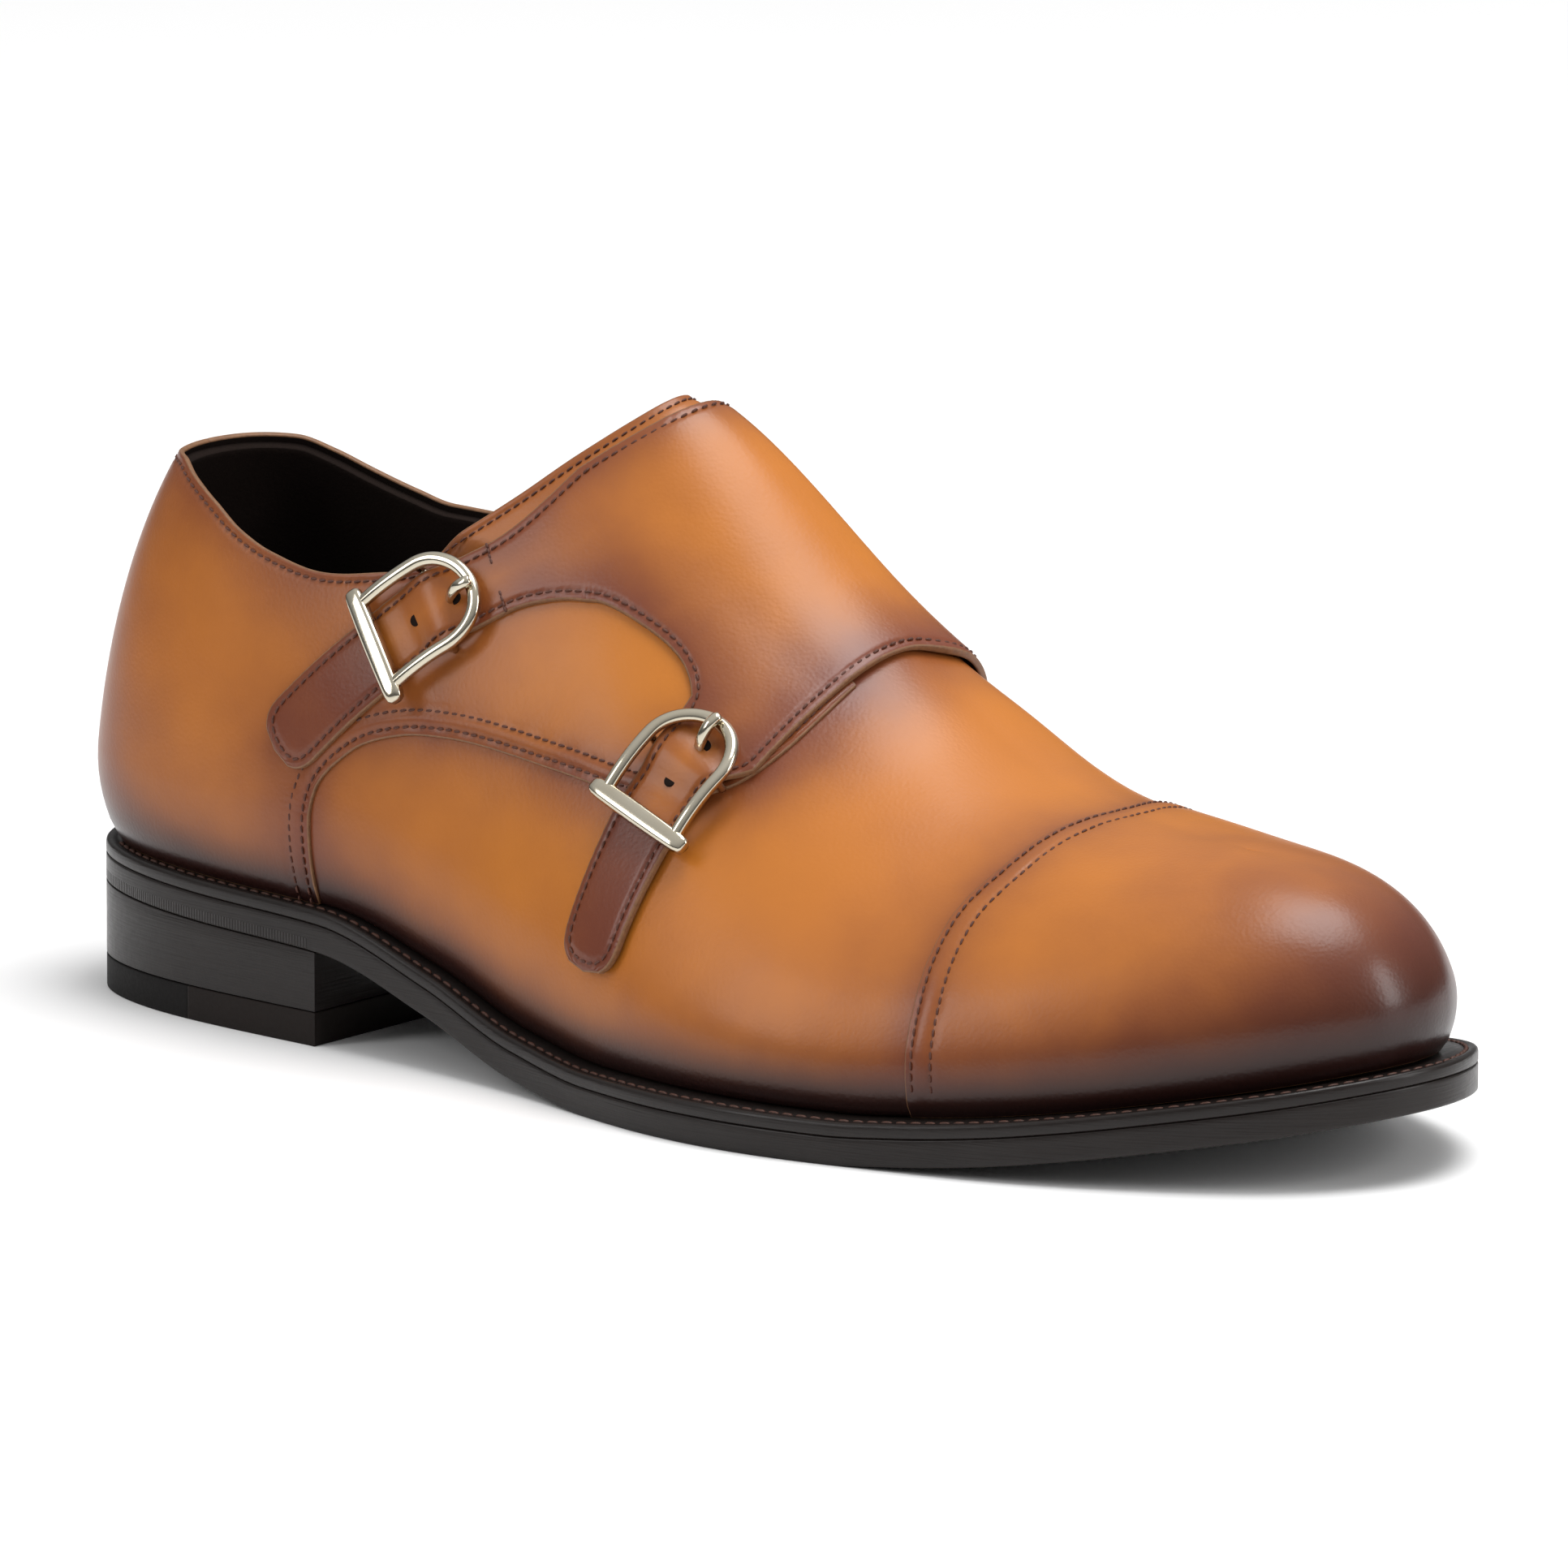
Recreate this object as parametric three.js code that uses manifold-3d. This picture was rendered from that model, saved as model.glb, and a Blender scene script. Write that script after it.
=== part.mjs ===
// A right men's double monk strap shoe on a welted sole with a stacked heel.
// Millimetres. +X points to the toe, +Z up, and the outer (lateral) side faces -Y.
// The shoe is worked out from its last: the curved form that the upper is pulled over.
import * as THREE from "three";
import { mergeVertices } from "three/addons/utils/BufferGeometryUtils.js";
import Module from "manifold-3d";

const wasm = await Module();
wasm.setup();

// Driving dimensions.
const GAP = 0.3; // between pieces that touch
const OUTSOLE_THICKNESS = 5;
const WELT_THICKNESS = 2.7;
const SOLE_EDGE = OUTSOLE_THICKNESS + GAP + WELT_THICKNESS;
const TOP_LIFT_THICKNESS = 6.4;
const HEEL_STATION = 4.12; // the heel breast, 72 mm from the back
const INSOLE_TOP = 1.6; // above the welt
const WALL = 2; // leather and lining of the upper
const WELT_LAP = 2.1; // how far the welt reaches in under the upper
const INSOLE_INSET = 2.5;
const FLAP_LOW = 0.5; // flap and straps lie this far above the upper
const FLAP_HIGH = 2.3;
const TONGUE_LOW = -5.6;
const TONGUE_HIGH = -3.7;
const STRAP_WIDTH = 14;

// The last, a row for each station from the back of the heel to the tip of the toe. x is the
// place along the sole, lateral and medial the half widths there, spine the ridge above that
// station (over the heel it is only a centre to draw from), full the squareness of each side
// (0.5 is an ellipse), lean how far the lateral side falls inwards, and tuck how far the upper
// draws in again at the welt, over the height given as rise.
const LAST_COLUMNS = [
  "x", "lateral", "medial", "spineX", "spineY", "spineZ",
  "fullLateral", "fullMedial", "lean", "tuckLateral", "tuckMedial", "rise",
];
const LAST = [
  [-1.5, 0, 0, 45, 0, 124, 0.5, 0.5, 0, 4.5, 4.5, 18],
  [3, 18, 17.3, 46, 0, 124, 0.5, 0.5, 0, 4.5, 4.5, 18],
  [15, 29, 28.5, 49, 0, 124, 0.5, 0.5, 0, 4.5, 4.5, 18],
  [36, 35, 34, 56, 0.5, 124.5, 0.5, 0.5, 0.08, 4, 4, 18],
  [68, 38.5, 33.5, 75, 3, 126, 0.5, 0.48, 0.25, 3.5, 4.5, 20],
  [100, 41.5, 30.5, 103, 7, 126, 0.5, 0.47, 0.42, 4, 6, 24],
  [132, 48, 31.5, 131, 10, 115.7, 0.5, 0.46, 0.5, 4, 6.5, 24],
  [162, 55.5, 38.5, 160, 11, 90.7, 0.5, 0.45, 0.5, 3.5, 5, 20],
  [190, 57, 45, 186, 10, 72.2, 0.49, 0.44, 0.38, 3, 3.5, 15],
  [215, 53, 47, 208, 8, 60.3, 0.47, 0.44, 0.22, 3, 3, 14],
  [240, 47, 45, 228, 5, 56.5, 0.45, 0.43, 0.1, 3, 3, 14],
  [262, 39, 38.5, 243, 3, 55, 0.43, 0.42, 0.03, 3, 3, 14],
  [281, 28, 28.5, 252.5, 1, 54.7, 0.41, 0.41, 0, 3, 3, 14],
  [294, 15.3, 15.8, 257, 0, 54.5, 0.41, 0.41, 0, 3.5, 3.5, 14],
  [299.3, 0, 0, 258, 0, 54.3, 0.41, 0.41, 0, 3.5, 3.5, 14],
];
const STATIONS = LAST.length - 1;
const CUTS = 3; // sections modelled from one station to the next

// Edge of the sole at the same stations: x, lateral half width, medial half width.
const SOLE_EDGE_ROWS = [
  [0, 0, 0], [4.3, 17.8, 17.5], [16.5, 28.5, 29.5], [37, 35, 35], [68, 38.8, 34.5],
  [100, 42.5, 32.5], [132, 49.8, 34], [162, 58.5, 41], [190, 60.8, 49], [216, 57, 52],
  [242, 51, 49.5], [266, 41.5, 41.5], [286, 29.7, 30], [298, 15.5, 15.8], [302.5, 0, 0],
];

// Height of the sole's underside along the shoe: heel seat, waist, tread and toe spring.
const UNDERSIDE_ROWS = [
  [0, 20.8], [40, 19], [72, 17.8], [100, 10.4], [125, 2.6], [148, 0], [206, 0],
  [220, 0.8], [235, 2.3], [252, 4.7], [268, 7.4], [285, 10.4], [303, 13.8],
];

// The opening of the upper: station, girth place of the lateral edge and of the medial edge.
// A girth place runs from 1 at the welt to 0 on the ridge.
const OPENING_ROWS = [
  [0, 0.345, 0.345], [0.6, 0.345, 0.345], [1.6, 0.338, 0.348], [2.2, 0.355, 0.368],
  [2.7, 0.38, 0.395], [3.1, 0.415, 0.418], [3.4, 0.438, 0.433], [3.85, 0.458, 0.433],
  [4.3, 0.44, 0.41], [4.8, 0.38, 0.34], [5.4, 0.3, 0.25], [6, 0.22, 0.17], [6.5, 0.13, 0.1],
  [6.9, 0, 0],
];
const THROAT_STATION = 6.9;

// Edges of the monk flap as station and girth place, negative on the lateral side.
const FLAP_TOP_EDGE = [
  [4.75, 0.38], [5.1, 0.27], [5.45, 0.16], [5.78, 0.06], [5.93, 0], [5.66, -0.086],
  [5.34, -0.195],
];
const FLAP_FRONT_EDGE = [
  [6.95, 0.56], [7.25, 0.43], [7.47, 0.25], [7.6, 0.08], [7.5, -0.05], [7.37, -0.21],
  [7.18, -0.428],
];
const ARC_BETWEEN_STRAPS = [
  [5.75, -0.366], [5.9, -0.355], [6.09, -0.347], [6.29, -0.343], [6.46, -0.354], [6.58, -0.38],
];
// Middle line of each strap, from its root in the flap to its tip, and along that line the
// places in mm of the buckle's centre bar, of the hole its prong uses and of its end bar.
const STRAPS = {
  upper: {
    middle: [[5.545, -0.28], [5.3, -0.342], [5.08, -0.393], [4.86, -0.442], [4.62, -0.5],
      [4.41, -0.565], [4.12, -0.65], [3.92, -0.712], [3.79, -0.752]],
    endBar: 45,
  },
  lower: {
    middle: [[6.88, -0.404], [6.8, -0.46], [6.72, -0.52], [6.64, -0.59], [6.59, -0.655],
      [6.54, -0.72], [6.49, -0.785], [6.45, -0.85]],
    endBar: 22,
  },
};
const BUCKLE = {
  length: 24, // middle of the end bar to the outside of the round front
  halfWidth: 8.9, // to the middle of the wire
  wire: 1.3,
  endBar: 1.8,
  endBarHalf: 12,
  centreBar: 0.8,
  centreBarPlace: 13.5, // from the end bar
  holePlace: 18,
  spareHolePlace: 9,
  height: 4.6, // middle of the wire above the upper
  prong: 0.8,
};

// ---- Curves -------------------------------------------------------------------------------

// A smooth function through the rows [x, y, ...], which doesn't overshoot them.
function throughRows(rows, column) {
  const slope = (i) =>
    (rows[i + 1][column] - rows[i][column]) / (rows[i + 1][0] - rows[i][0]);
  const tangents = rows.map((_, i) => {
    if (i === 0) return slope(0);
    if (i === rows.length - 1) return slope(i - 1);
    const [a, b] = [slope(i - 1), slope(i)];
    return a * b <= 0 ? 0 : (2 * a * b) / (a + b);
  });
  return (x) => {
    const at = THREE.MathUtils.clamp(x, rows[0][0], rows[rows.length - 1][0]);
    let i = rows.length - 2;
    while (i > 0 && at < rows[i][0]) i--;
    const span = rows[i + 1][0] - rows[i][0];
    const f = (at - rows[i][0]) / span;
    const [y0, y1] = [rows[i][column], rows[i + 1][column]];
    return (
      y0 * (1 + 2 * f) * (1 - f) ** 2 + y1 * f * f * (3 - 2 * f) +
      span * (tangents[i] * f * (1 - f) ** 2 - tangents[i + 1] * f * f * (1 - f))
    );
  };
}

// A closed curve once round the foot, through a value for each station: out along the lateral
// side, back along the medial side. It is a cubic B-spline, so its curvature is smooth.
function roundTheFoot(lateral, medial) {
  const values = [...lateral, ...medial.slice(1, -1).reverse()];
  const n = values.length;
  let controls = [...values];
  for (let pass = 0; pass < 60; pass++)
    controls = controls.map(
      (c, i) =>
        c + values[i] - (controls[(i + n - 1) % n] + 4 * c + controls[(i + 1) % n]) / 6,
    );
  return (t) => {
    const i = Math.floor(t);
    const f = t - i;
    const c = (k) => controls[(((i + k) % n) + n) % n];
    return (
      ((1 - f) ** 3 * c(-1) + (3 * f ** 3 - 6 * f * f + 4) * c(0) +
        (3 * f * (1 + f - f * f) + 1) * c(1) + f ** 3 * c(2)) / 6
    );
  };
}

const underside = throughRows(UNDERSIDE_ROWS, 1);
const column = (name) => LAST.map((row) => row[LAST_COLUMNS.indexOf(name)]);
const mirrored = (values) => values.map((value) => -value);
const last = {
  x: roundTheFoot(column("x"), column("x")),
  y: roundTheFoot(mirrored(column("lateral")), column("medial")),
  spineX: roundTheFoot(column("spineX"), column("spineX")),
  spineY: roundTheFoot(column("spineY"), column("spineY")),
  spineZ: roundTheFoot(column("spineZ"), column("spineZ")),
  full: roundTheFoot(column("fullLateral"), column("fullMedial")),
  lean: roundTheFoot(column("lean"), column("lean").map(() => 0)),
  tuck: roundTheFoot(column("tuckLateral"), column("tuckMedial")),
  rise: roundTheFoot(column("rise"), column("rise")),
};
const soleEdge = {
  x: roundTheFoot(SOLE_EDGE_ROWS.map((r) => r[0]), SOLE_EDGE_ROWS.map((r) => r[0])),
  y: roundTheFoot(SOLE_EDGE_ROWS.map((r) => -r[1]), SOLE_EDGE_ROWS.map((r) => r[2])),
};

// ---- The last's surface ---------------------------------------------------------------------

// The point at place t round the foot and at angle phi from the welt (0) to the spine (90 deg).
function onLast(t, phi) {
  const [fx, fy] = [last.x(t), last.y(t)];
  const [sx, sy, sz] = [last.spineX(t), last.spineY(t), last.spineZ(t)];
  const welt = underside(fx) + SOLE_EDGE + GAP;
  const sine = Math.sin(phi);
  const power = 2 * last.full(t);
  const out = Math.max(Math.cos(phi), 0) ** power * (1 - last.lean(t) * sine * sine);
  const z = welt + (sz - welt) * sine ** power;
  const spread = Math.hypot(fx - sx, fy - sy);
  const low = Math.max(1 - (z - welt) / last.rise(t), 0);
  const reach = out - (last.tuck(t) * low * low) / spread;
  return new THREE.Vector3(sx + (fx - sx) * reach, sy + (fy - sy) * reach, z);
}

// Angles at equal steps of girth, for every tenth of a station.
const GIRTH_STEPS = 80;
const angleRows = [];
for (let k = 0; k <= STATIONS * 20; k++) {
  const t = k / 10;
  const angles = Array.from({ length: 161 }, (_, i) => (i * Math.PI) / 320);
  const points = angles.map((phi) => onLast(t, phi));
  const lengths = [0];
  for (let i = 1; i < points.length; i++)
    lengths.push(lengths[i - 1] + points[i].distanceTo(points[i - 1]));
  const row = [];
  for (let s = 0, i = 1; s <= GIRTH_STEPS; s++) {
    const want = (lengths[lengths.length - 1] * s) / GIRTH_STEPS;
    while (i < lengths.length - 1 && lengths[i] < want) i++;
    const f = (want - lengths[i - 1]) / (lengths[i] - lengths[i - 1]);
    row.push(angles[i - 1] + (angles[i] - angles[i - 1]) * f);
  }
  angleRows.push(row);
}
function angleAt(t, girth) {
  const a = THREE.MathUtils.clamp(t, 0, STATIONS * 2) * 10;
  const b = THREE.MathUtils.clamp(girth, 0, 1) * GIRTH_STEPS;
  const i = Math.min(Math.floor(a), angleRows.length - 2);
  const j = Math.min(Math.floor(b), GIRTH_STEPS - 1);
  const mix = THREE.MathUtils.lerp;
  return mix(
    mix(angleRows[i][j], angleRows[i][j + 1], b - j),
    mix(angleRows[i + 1][j], angleRows[i + 1][j + 1], b - j),
    a - i,
  );
}

// A pattern place is (station, girth): girth -1 at the lateral welt, 0 on the ridge, 1 at the
// medial welt. h is the height above the outside of the upper.
function formPoint(station, girth, h = 0) {
  const t = girth <= 0 ? station : 2 * STATIONS - station;
  const up = 1 - Math.abs(girth);
  const point = onLast(t, angleAt(t, up));
  return h === 0 ? point : point.addScaledVector(formNormal(station, girth), h);
}
function formNormal(station, girth) {
  const step = 0.004;
  const side = girth <= 0 ? 1 : -1;
  const t = girth <= 0 ? station : 2 * STATIONS - station;
  const up = THREE.MathUtils.clamp(1 - Math.abs(girth), 0.01, 0.985);
  const at = (dt, du) => onLast(t + dt, angleAt(t, up + du));
  const along = at(step, 0).sub(at(-step, 0));
  const over = at(0, step).sub(at(0, -step));
  return along.cross(over).normalize();
}

// ---- Solids ---------------------------------------------------------------------------------

// A sheet of leather or sole cut as blocks of four-sided cells. Blocks that share an edge share
// its points. place(a, b, top) gives the point under (top = 0) or over (top = 1) a place.
class Sheet {
  constructor(place) {
    this.place = place;
    this.found = new Map();
    this.points = [];
    this.cells = [];
  }
  corner(a, b, lift = 0) {
    const low = this.place(a, b, 0, lift);
    const key = low.toArray().map((c) => Math.round(c * 500)).join();
    if (!this.found.has(key)) {
      this.found.set(key, this.points.length);
      this.points.push([low, this.place(a, b, 1, lift)]);
    }
    return this.found.get(key);
  }
  block(rows) {
    const ids = rows.map((row) => row.map((place) => this.corner(...place)));
    for (let i = 0; i + 1 < ids.length; i++)
      for (let j = 0; j + 1 < ids[i].length; j++)
        this.cells.push([ids[i][j], ids[i + 1][j], ids[i + 1][j + 1], ids[i][j + 1]]);
    return this;
  }
  geometry() {
    const faces = [];
    const sides = new Map();
    const add = (a, b, c) => {
      if (a !== b && b !== c && c !== a) faces.push(a, b, c);
    };
    for (const [a, b, c, d] of this.cells) {
      for (const [p, q, r] of [[a, b, c], [a, c, d]]) {
        add(2 * p + 1, 2 * q + 1, 2 * r + 1);
        add(2 * p, 2 * r, 2 * q);
      }
      for (const [p, q] of [[a, b], [b, c], [c, d], [d, a]])
        if (p !== q) {
          if (sides.has(q + "," + p)) sides.delete(q + "," + p);
          else sides.set(p + "," + q, [p, q]);
        }
    }
    for (const [p, q] of sides.values()) {
      add(2 * p, 2 * q, 2 * q + 1);
      add(2 * p, 2 * q + 1, 2 * p + 1);
    }
    const geometry = new THREE.BufferGeometry();
    const positions = this.points.flatMap(([low, high]) => [...low.toArray(), ...high.toArray()]);
    geometry.setAttribute("position", new THREE.Float32BufferAttribute(positions, 3));
    geometry.setIndex(faces);
    return geometry;
  }
}

function steps(from, to, count) {
  return Array.from({ length: count + 1 }, (_, i) => from + ((to - from) * i) / count);
}

function toSolid(geometry) {
  const bare = geometry.index ? geometry.toNonIndexed() : geometry.clone();
  const positions = new THREE.BufferGeometry();
  positions.setAttribute("position", bare.getAttribute("position"));
  const merged = mergeVertices(positions, 1e-4);
  return new wasm.Manifold(
    new wasm.Mesh({
      numProp: 3,
      vertProperties: merged.attributes.position.array,
      triVerts: new Uint32Array(merged.index.array),
    }),
  );
}
function toGeometry(solid) {
  const mesh = solid.getMesh();
  const geometry = new THREE.BufferGeometry();
  geometry.setAttribute("position", new THREE.BufferAttribute(mesh.vertProperties, 3));
  geometry.setIndex(new THREE.BufferAttribute(mesh.triVerts, 1));
  return geometry;
}

// A round bar along a curve.
function barAlong(curve, radius, segments, sides = 10) {
  const section = new THREE.Shape();
  for (let i = 0; i < sides; i++) {
    const angle = (2 * Math.PI * i) / sides;
    section[i ? "lineTo" : "moveTo"](radius * Math.cos(angle), radius * Math.sin(angle));
  }
  section.closePath();
  return new THREE.ExtrudeGeometry(section, {
    steps: segments, extrudePath: curve, bevelEnabled: false,
  });
}

// ---- Sole -----------------------------------------------------------------------------------

const soleFootprint = (t) => [soleEdge.x(t), soleEdge.y(t)];
// The line where the upper meets the welt, drawn in by an inset.
function featherLine(t, inset) {
  const foot = onLast(t, 0);
  const spine = new THREE.Vector3(last.spineX(t), last.spineY(t), foot.z);
  const inwards = spine.sub(foot).normalize();
  return [foot.x + inwards.x * inset, foot.y + inwards.y * inset];
}

// A layer of the sole inside a footprint, from the back to a station.
function layer(footprint, lastStation, low, high) {
  const sheet = new Sheet((station, across, top) => {
    const [x0, y0] = footprint(station);
    const [x1, y1] = footprint(2 * STATIONS - station);
    const x = x0 + (x1 - x0) * across;
    return new THREE.Vector3(x, y0 + (y1 - y0) * across, top ? high(x) : low(x));
  });
  const rows = steps(0, lastStation, Math.round(lastStation * CUTS));
  return sheet
    .block(rows.map((station) => steps(0, 1, 2).map((across) => [station, across])))
    .geometry();
}

function outsole() {
  const low = (x) => underside(x);
  return layer(soleFootprint, STATIONS, low, (x) => underside(x) + OUTSOLE_THICKNESS);
}
function insole() {
  return layer(
    (t) => featherLine(t, INSOLE_INSET),
    STATIONS,
    (x) => underside(x) + OUTSOLE_THICKNESS + GAP,
    (x) => underside(x) + SOLE_EDGE + INSOLE_TOP,
  );
}
function welt() {
  const inner = (t) => featherLine(t, WELT_LAP);
  const sheet = new Sheet((t, across, top) => {
    const [x0, y0] = soleFootprint(t);
    const [x1, y1] = inner(t);
    const x = x0 + (x1 - x0) * across;
    const low = underside(x) + OUTSOLE_THICKNESS + GAP;
    return new THREE.Vector3(x, y0 + (y1 - y0) * across, low + (top ? WELT_THICKNESS : 0));
  });
  const around = steps(0, 2 * STATIONS, 2 * CUTS * STATIONS);
  return sheet.block(around.map((t) => [[t, 0], [t, 1]])).geometry();
}
function heelStack() {
  return layer(
    soleFootprint,
    HEEL_STATION,
    () => TOP_LIFT_THICKNESS + GAP,
    (x) => underside(x) - GAP,
  );
}
function topLift() {
  return layer(soleFootprint, HEEL_STATION, () => 0, () => TOP_LIFT_THICKNESS);
}

// ---- Upper ----------------------------------------------------------------------------------

function upper() {
  const edge = { lateral: throughRows(OPENING_ROWS, 1), medial: throughRows(OPENING_ROWS, 2) };
  const sheet = new Sheet((station, girth, top) => {
    const point = formPoint(station, girth, top ? 0 : -WALL);
    if (top || Math.abs(girth) < 1) return point;
    // The lowest inner edge lies flat on the welt.
    const [x, y] = featherLine(girth < 0 ? station : 2 * STATIONS - station, WALL);
    return point.set(x, y, underside(x) + SOLE_EDGE + GAP);
  });
  const stations = steps(0, STATIONS, CUTS * STATIONS);
  stations.splice(Math.ceil(THROAT_STATION * CUTS), 0, THROAT_STATION);
  const side = (sign, opening) =>
    stations.map((station) => {
      const top = station >= THROAT_STATION ? 0 : opening(station);
      return steps(1, top, 10).map((girth) => [station, sign * girth]);
    });
  sheet.block(side(-1, edge.lateral));
  sheet.block(side(1, edge.medial).map((row) => row.reverse()));
  return sheet.geometry();
}

function tongue() {
  const topEdge = throughRows(
    [[-0.36, 4.63], [-0.25, 5.02], [-0.13, 5.38], [0, 5.78], [0.13, 5.38], [0.25, 5.02],
      [0.36, 4.63]],
    1,
  );
  const sheet = new Sheet((station, girth, top) =>
    formPoint(station, girth, top ? TONGUE_HIGH : TONGUE_LOW),
  );
  const rows = steps(-0.36, 0.36, 16).map((girth) =>
    steps(topEdge(girth), 7.35 - 1.5 * girth * girth, 9).map((station) => [station, girth]),
  );
  return sheet.block(rows.reverse()).geometry();
}

// ---- Flap and straps ------------------------------------------------------------------------

// How the pattern place moves for a step in space at a place of the form.
function patternStep(station, girth, move) {
  const d = 0.01;
  const sign = girth > 0 ? 1 : -1;
  const here = formPoint(station, girth);
  const a = formPoint(station + d, girth).sub(here).divideScalar(d);
  const b = formPoint(station, girth + sign * d).sub(here).divideScalar(sign * d);
  const [aa, ab, bb] = [a.dot(a), a.dot(b), b.dot(b)];
  const [am, bm] = [a.dot(move), b.dot(move)];
  const area = aa * bb - ab * ab;
  return [(am * bb - bm * ab) / area, (bm * aa - am * ab) / area];
}

// The middle line of a strap, with a frame (tip-wards, sideways, outwards) at any length.
class StrapLine {
  constructor(places) {
    const curve = new THREE.SplineCurve(places.map(([a, b]) => new THREE.Vector2(a, b)));
    this.places = curve.getPoints(80);
    this.points = this.places.map((p) => formPoint(p.x, p.y));
    this.lengths = [0];
    for (let i = 1; i < this.points.length; i++)
      this.lengths.push(this.lengths[i - 1] + this.points[i].distanceTo(this.points[i - 1]));
    this.length = this.lengths[this.lengths.length - 1];
  }
  frame(s) {
    let i = 1;
    while (i < this.lengths.length - 1 && this.lengths[i] < s) i++;
    const f = (s - this.lengths[i - 1]) / (this.lengths[i] - this.lengths[i - 1]);
    const place = this.places[i - 1].clone().lerp(this.places[i], f);
    const point = this.points[i - 1].clone().lerp(this.points[i], f);
    const near = (k) => this.points[THREE.MathUtils.clamp(k, 0, this.points.length - 1)];
    const out = formNormal(place.x, place.y);
    const along = near(i + 2).clone().sub(near(i - 3));
    along.addScaledVector(out, -along.dot(out)).normalize();
    return { place, point, along, out, side: new THREE.Vector3().crossVectors(out, along) };
  }
  // A point s along the strap, q to its side and h above the upper.
  at(s, q, h) {
    const { point, side, out } = this.frame(s);
    return point.clone().addScaledVector(side, q).addScaledVector(out, h);
  }
  // The pattern place s along the strap and q to its side.
  placeAt(s, q) {
    let [a, b] = this.frame(s).place.toArray();
    const target = this.at(s, q, 0);
    for (let pass = 0; pass < 4; pass++) {
      const [da, db] = patternStep(a, b, target.clone().sub(formPoint(a, b)));
      [a, b] = [a + da, b + db];
    }
    return [a, b];
  }
  // The same place in space, h above the upper.
  over(s, q, h) {
    return formPoint(...this.placeAt(s, q), h);
  }
}

const strapLines = {
  upper: new StrapLine(STRAPS.upper.middle),
  lower: new StrapLine(STRAPS.lower.middle),
};

// How high a strap is pushed up by the centre bar of its buckle.
function humpOver(strap, s) {
  const away = Math.abs(s - (STRAPS[strap].endBar - BUCKLE.centreBarPlace)) / 7;
  return away < 1 ? 1.75 * Math.cos((away * Math.PI) / 2) ** 2 : 0;
}

// Rows of a strap from its root row to its rounded tip.
function strapRows(strap, root, blend) {
  const line = strapLines[strap];
  const count = root.length - 1;
  const rows = [root.map((place) => [...place, 0])];
  const lengths = steps(0, line.length, Math.round(line.length / 2.6)).slice(1);
  for (const s of lengths) {
    const toTip = (line.length - s) / (STRAP_WIDTH / 2);
    const round = toTip < 1 ? Math.sqrt(Math.max(1 - (1 - toTip) ** 2, 0.09)) : 1;
    rows.push(
      steps(-1, 1, count).map((across, j) => {
        const q = (across * round * STRAP_WIDTH) / 2;
        const [a, b] = line.placeAt(s, q);
        const keep = Math.max(1 - s / blend, 0) ** 2;
        const [ra, rb] = root[j];
        const [ca, cb] = line.placeAt(0, (across * STRAP_WIDTH) / 2);
        return [a + (ra - ca) * keep, b + (rb - cb) * keep, humpOver(strap, s)];
      }),
    );
  }
  return rows;
}

function monkFlap() {
  const spline = (places) =>
    new THREE.SplineCurve(places.map(([a, b]) => new THREE.Vector2(a, b)));
  const line = (a, b, count) =>
    steps(0, 1, count).map((f) => [a[0] + (b[0] - a[0]) * f, a[1] + (b[1] - a[1]) * f]);
  const lastOf = (list) => list[list.length - 1];
  const upperRoot = line(lastOf(FLAP_TOP_EDGE), ARC_BETWEEN_STRAPS[0], 5);
  const arc = spline(ARC_BETWEEN_STRAPS).getPoints(8).map((p) => [p.x, p.y]);
  const lowerRoot = line(lastOf(ARC_BETWEEN_STRAPS), lastOf(FLAP_FRONT_EDGE), 5);
  const end = [...upperRoot, ...arc.slice(1), ...lowerRoot.slice(1)];
  // Where each line of the end lies between the top edge and the front edge.
  const share = end.map((_, j) => j / (end.length - 1));
  const top = spline(FLAP_TOP_EDGE);
  const front = spline(FLAP_FRONT_EDGE);
  const body = steps(0, 1, 20).map((f) => {
    const a = top.getPoint(f);
    const b = front.getPoint(f);
    const pull = f ** 3;
    return share.map((s, j) => {
      const straight = [a.x + (b.x - a.x) * s, a.y + (b.y - a.y) * s];
      const e = end[j];
      const [l, m] = [lastOf(FLAP_TOP_EDGE), lastOf(FLAP_FRONT_EDGE)];
      const flat = [l[0] + (m[0] - l[0]) * s, l[1] + (m[1] - l[1]) * s];
      return [straight[0] + (e[0] - flat[0]) * pull, straight[1] + (e[1] - flat[1]) * pull, 0];
    });
  });
  const sheet = new Sheet((station, girth, isTop, lift) =>
    formPoint(station, girth, (isTop ? FLAP_HIGH : FLAP_LOW) + lift),
  );
  sheet.block(body);
  sheet.block(strapRows("upper", upperRoot, 14));
  sheet.block(strapRows("lower", lowerRoot, 10));
  let solid = toSolid(sheet.geometry());
  for (const strap of ["upper", "lower"]) {
    const s = STRAPS[strap].endBar - BUCKLE.spareHolePlace;
    const spare = new THREE.LineCurve3(
      strapLines[strap].at(s, 0, 0.1),
      strapLines[strap].at(s, 0, 8),
    );
    solid = solid.subtract(toSolid(barAlong(spare, 1.2, 1)));
    const used = barAlong(prongCurve(strap), BUCKLE.prong + GAP, 14, 8);
    solid = solid.subtract(toSolid(used));
  }
  return toGeometry(solid);
}

// ---- Buckles --------------------------------------------------------------------------------

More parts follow.
